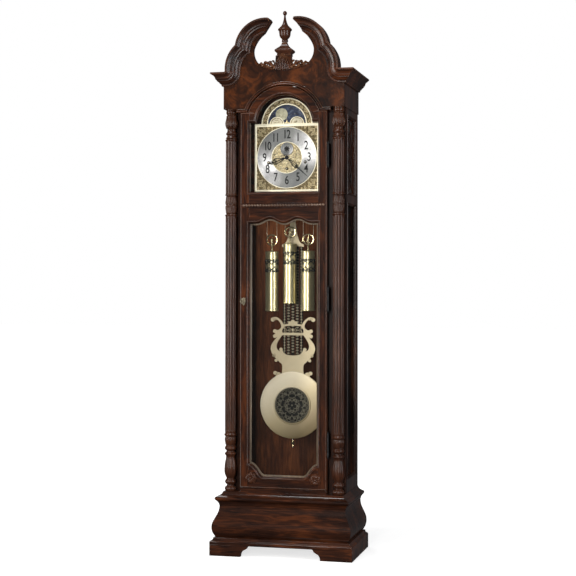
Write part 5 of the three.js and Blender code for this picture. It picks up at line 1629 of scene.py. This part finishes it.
# ---------------------------------------------------------------- studio
def studio():
    """A white surround, a floor that brightens to white away from the clock, and five lamps."""
    bpy.context.scene.view_settings.view_transform = "Standard"
    world = bpy.data.worlds.new("studio")
    bpy.context.scene.world = world
    world.use_nodes = True
    nodes = world.node_tree.nodes
    links = world.node_tree.links
    seen = nodes["Background"]
    seen.inputs["Color"].default_value = (1, 1, 1, 1)
    seen.inputs["Strength"].default_value = 1.0
    lit = nodes.new("ShaderNodeBackground")
    lit.inputs["Color"].default_value = (0.92, 0.95, 1, 1)
    lit.inputs["Strength"].default_value = 0.07
    path = nodes.new("ShaderNodeLightPath")
    chosen = nodes.new("ShaderNodeMixShader")
    links.new(path.outputs["Is Camera Ray"], chosen.inputs["Fac"])
    links.new(lit.outputs["Background"], chosen.inputs[1])
    links.new(seen.outputs["Background"], chosen.inputs[2])
    links.new(chosen.outputs["Shader"], nodes["World Output"].inputs["Surface"])

    reach = 30
    mesh = bpy.data.meshes.new("studio_floor")
    corners = [(-reach, -reach, 0), (reach, -reach, 0), (reach, reach, 0), (-reach, reach, 0)]
    mesh.from_pydata(corners, [], [(0, 1, 2, 3)])
    floor = bpy.data.objects.new("studio_floor", mesh)
    bpy.context.scene.collection.objects.link(floor)
    n = Nodes("pale_floor", Roughness=0.9, Specular_IOR_Level=0.1)
    tones = [(0.3, (0.44, 0.44, 0.44)), (0.7, (0.46, 0.46, 0.46))]
    n.link(n.ramp(n.noise(n.where, 2.0), tones), "Base Color")
    n.shader.inputs["Emission Strength"].default_value = 1.0
    away = n.node("ShaderNodeVectorMath", {0: n.where}, operation="LENGTH").outputs["Value"]
    glow = [(0.0, (0.72, 0.72, 0.72)), (1.0, (1, 1, 1))]
    n.link(n.ramp(n.grey(away, 0.0, 1.0, 0.5, 3.5), glow), "Emission Color")
    mesh.materials.append(n.material)
    floor.visible_glossy = False
    floor.visible_diffuse = False

    # Each lamp: name, place, what it aims at, width and height, watts, colour.
    lamps = (
        ("key", (-3.6, -2.9, 1.9), (0, 0, 1.25), (0.75, 3.0), 215, (1, 0.97, 0.93)),
        ("right", (3.9, -2.2, 1.8), (0, 0, 1.2), (1.1, 3.0), 155, (0.97, 0.98, 1)),
        ("front", (0.25, -4.9, 1.5), (0, 0, 1.15), (0.8, 2.4), 150, (1, 0.98, 0.95)),
        ("above", (-0.6, -1.2, 4.6), (0, 0, 1.9), (1.2, 0.9), 70, (1, 1, 1)),
        ("behind", (-1.6, 2.8, 2.6), (0, 0, 1.3), (1.6, 2.0), 50, (1, 1, 1)),
    )
    for name, place, target, size, power, colour in lamps:
        data = bpy.data.lights.new(name, "AREA")
        data.shape = "RECTANGLE"
        data.size, data.size_y = size
        data.energy = power
        data.color = colour
        lamp = bpy.data.objects.new(name, data)
        lamp.location = place
        dx, dy, dz = np.array(target) - np.array(place)
        lamp.rotation_euler = (math.atan2(math.hypot(dx, dy), -dz), 0, math.atan2(-dx, dy))
        bpy.context.scene.collection.objects.link(lamp)


def camera():
    """A long lens at the height of the clock's middle, a little to its right."""
    data = bpy.data.cameras.new("camera")
    data.sensor_width = 36
    data.lens = 86.55
    data.shift_y = -0.0788
    data.clip_end = 100
    cam = bpy.data.objects.new("camera", data)
    cam.location = (1.455, -5.908, 1.167)
    cam.rotation_euler = (math.radians(91.7), math.radians(-0.1), math.radians(13.94))
    bpy.context.scene.collection.objects.link(cam)
    bpy.context.scene.camera = cam


camera()
dress_cad_nodes()
base()
pediment()
crest()
finial()
columns()
sides()
door_wood()
door_key()
hinges()
dial_sheet()
dial_trim()
arch_scrolls()
globes()
chapter_ring()
dial_centre()
moon_disc()
hands()
for train in WINDING:
    weight(train)
drums()
pendulum_frame()
bob()
studio()
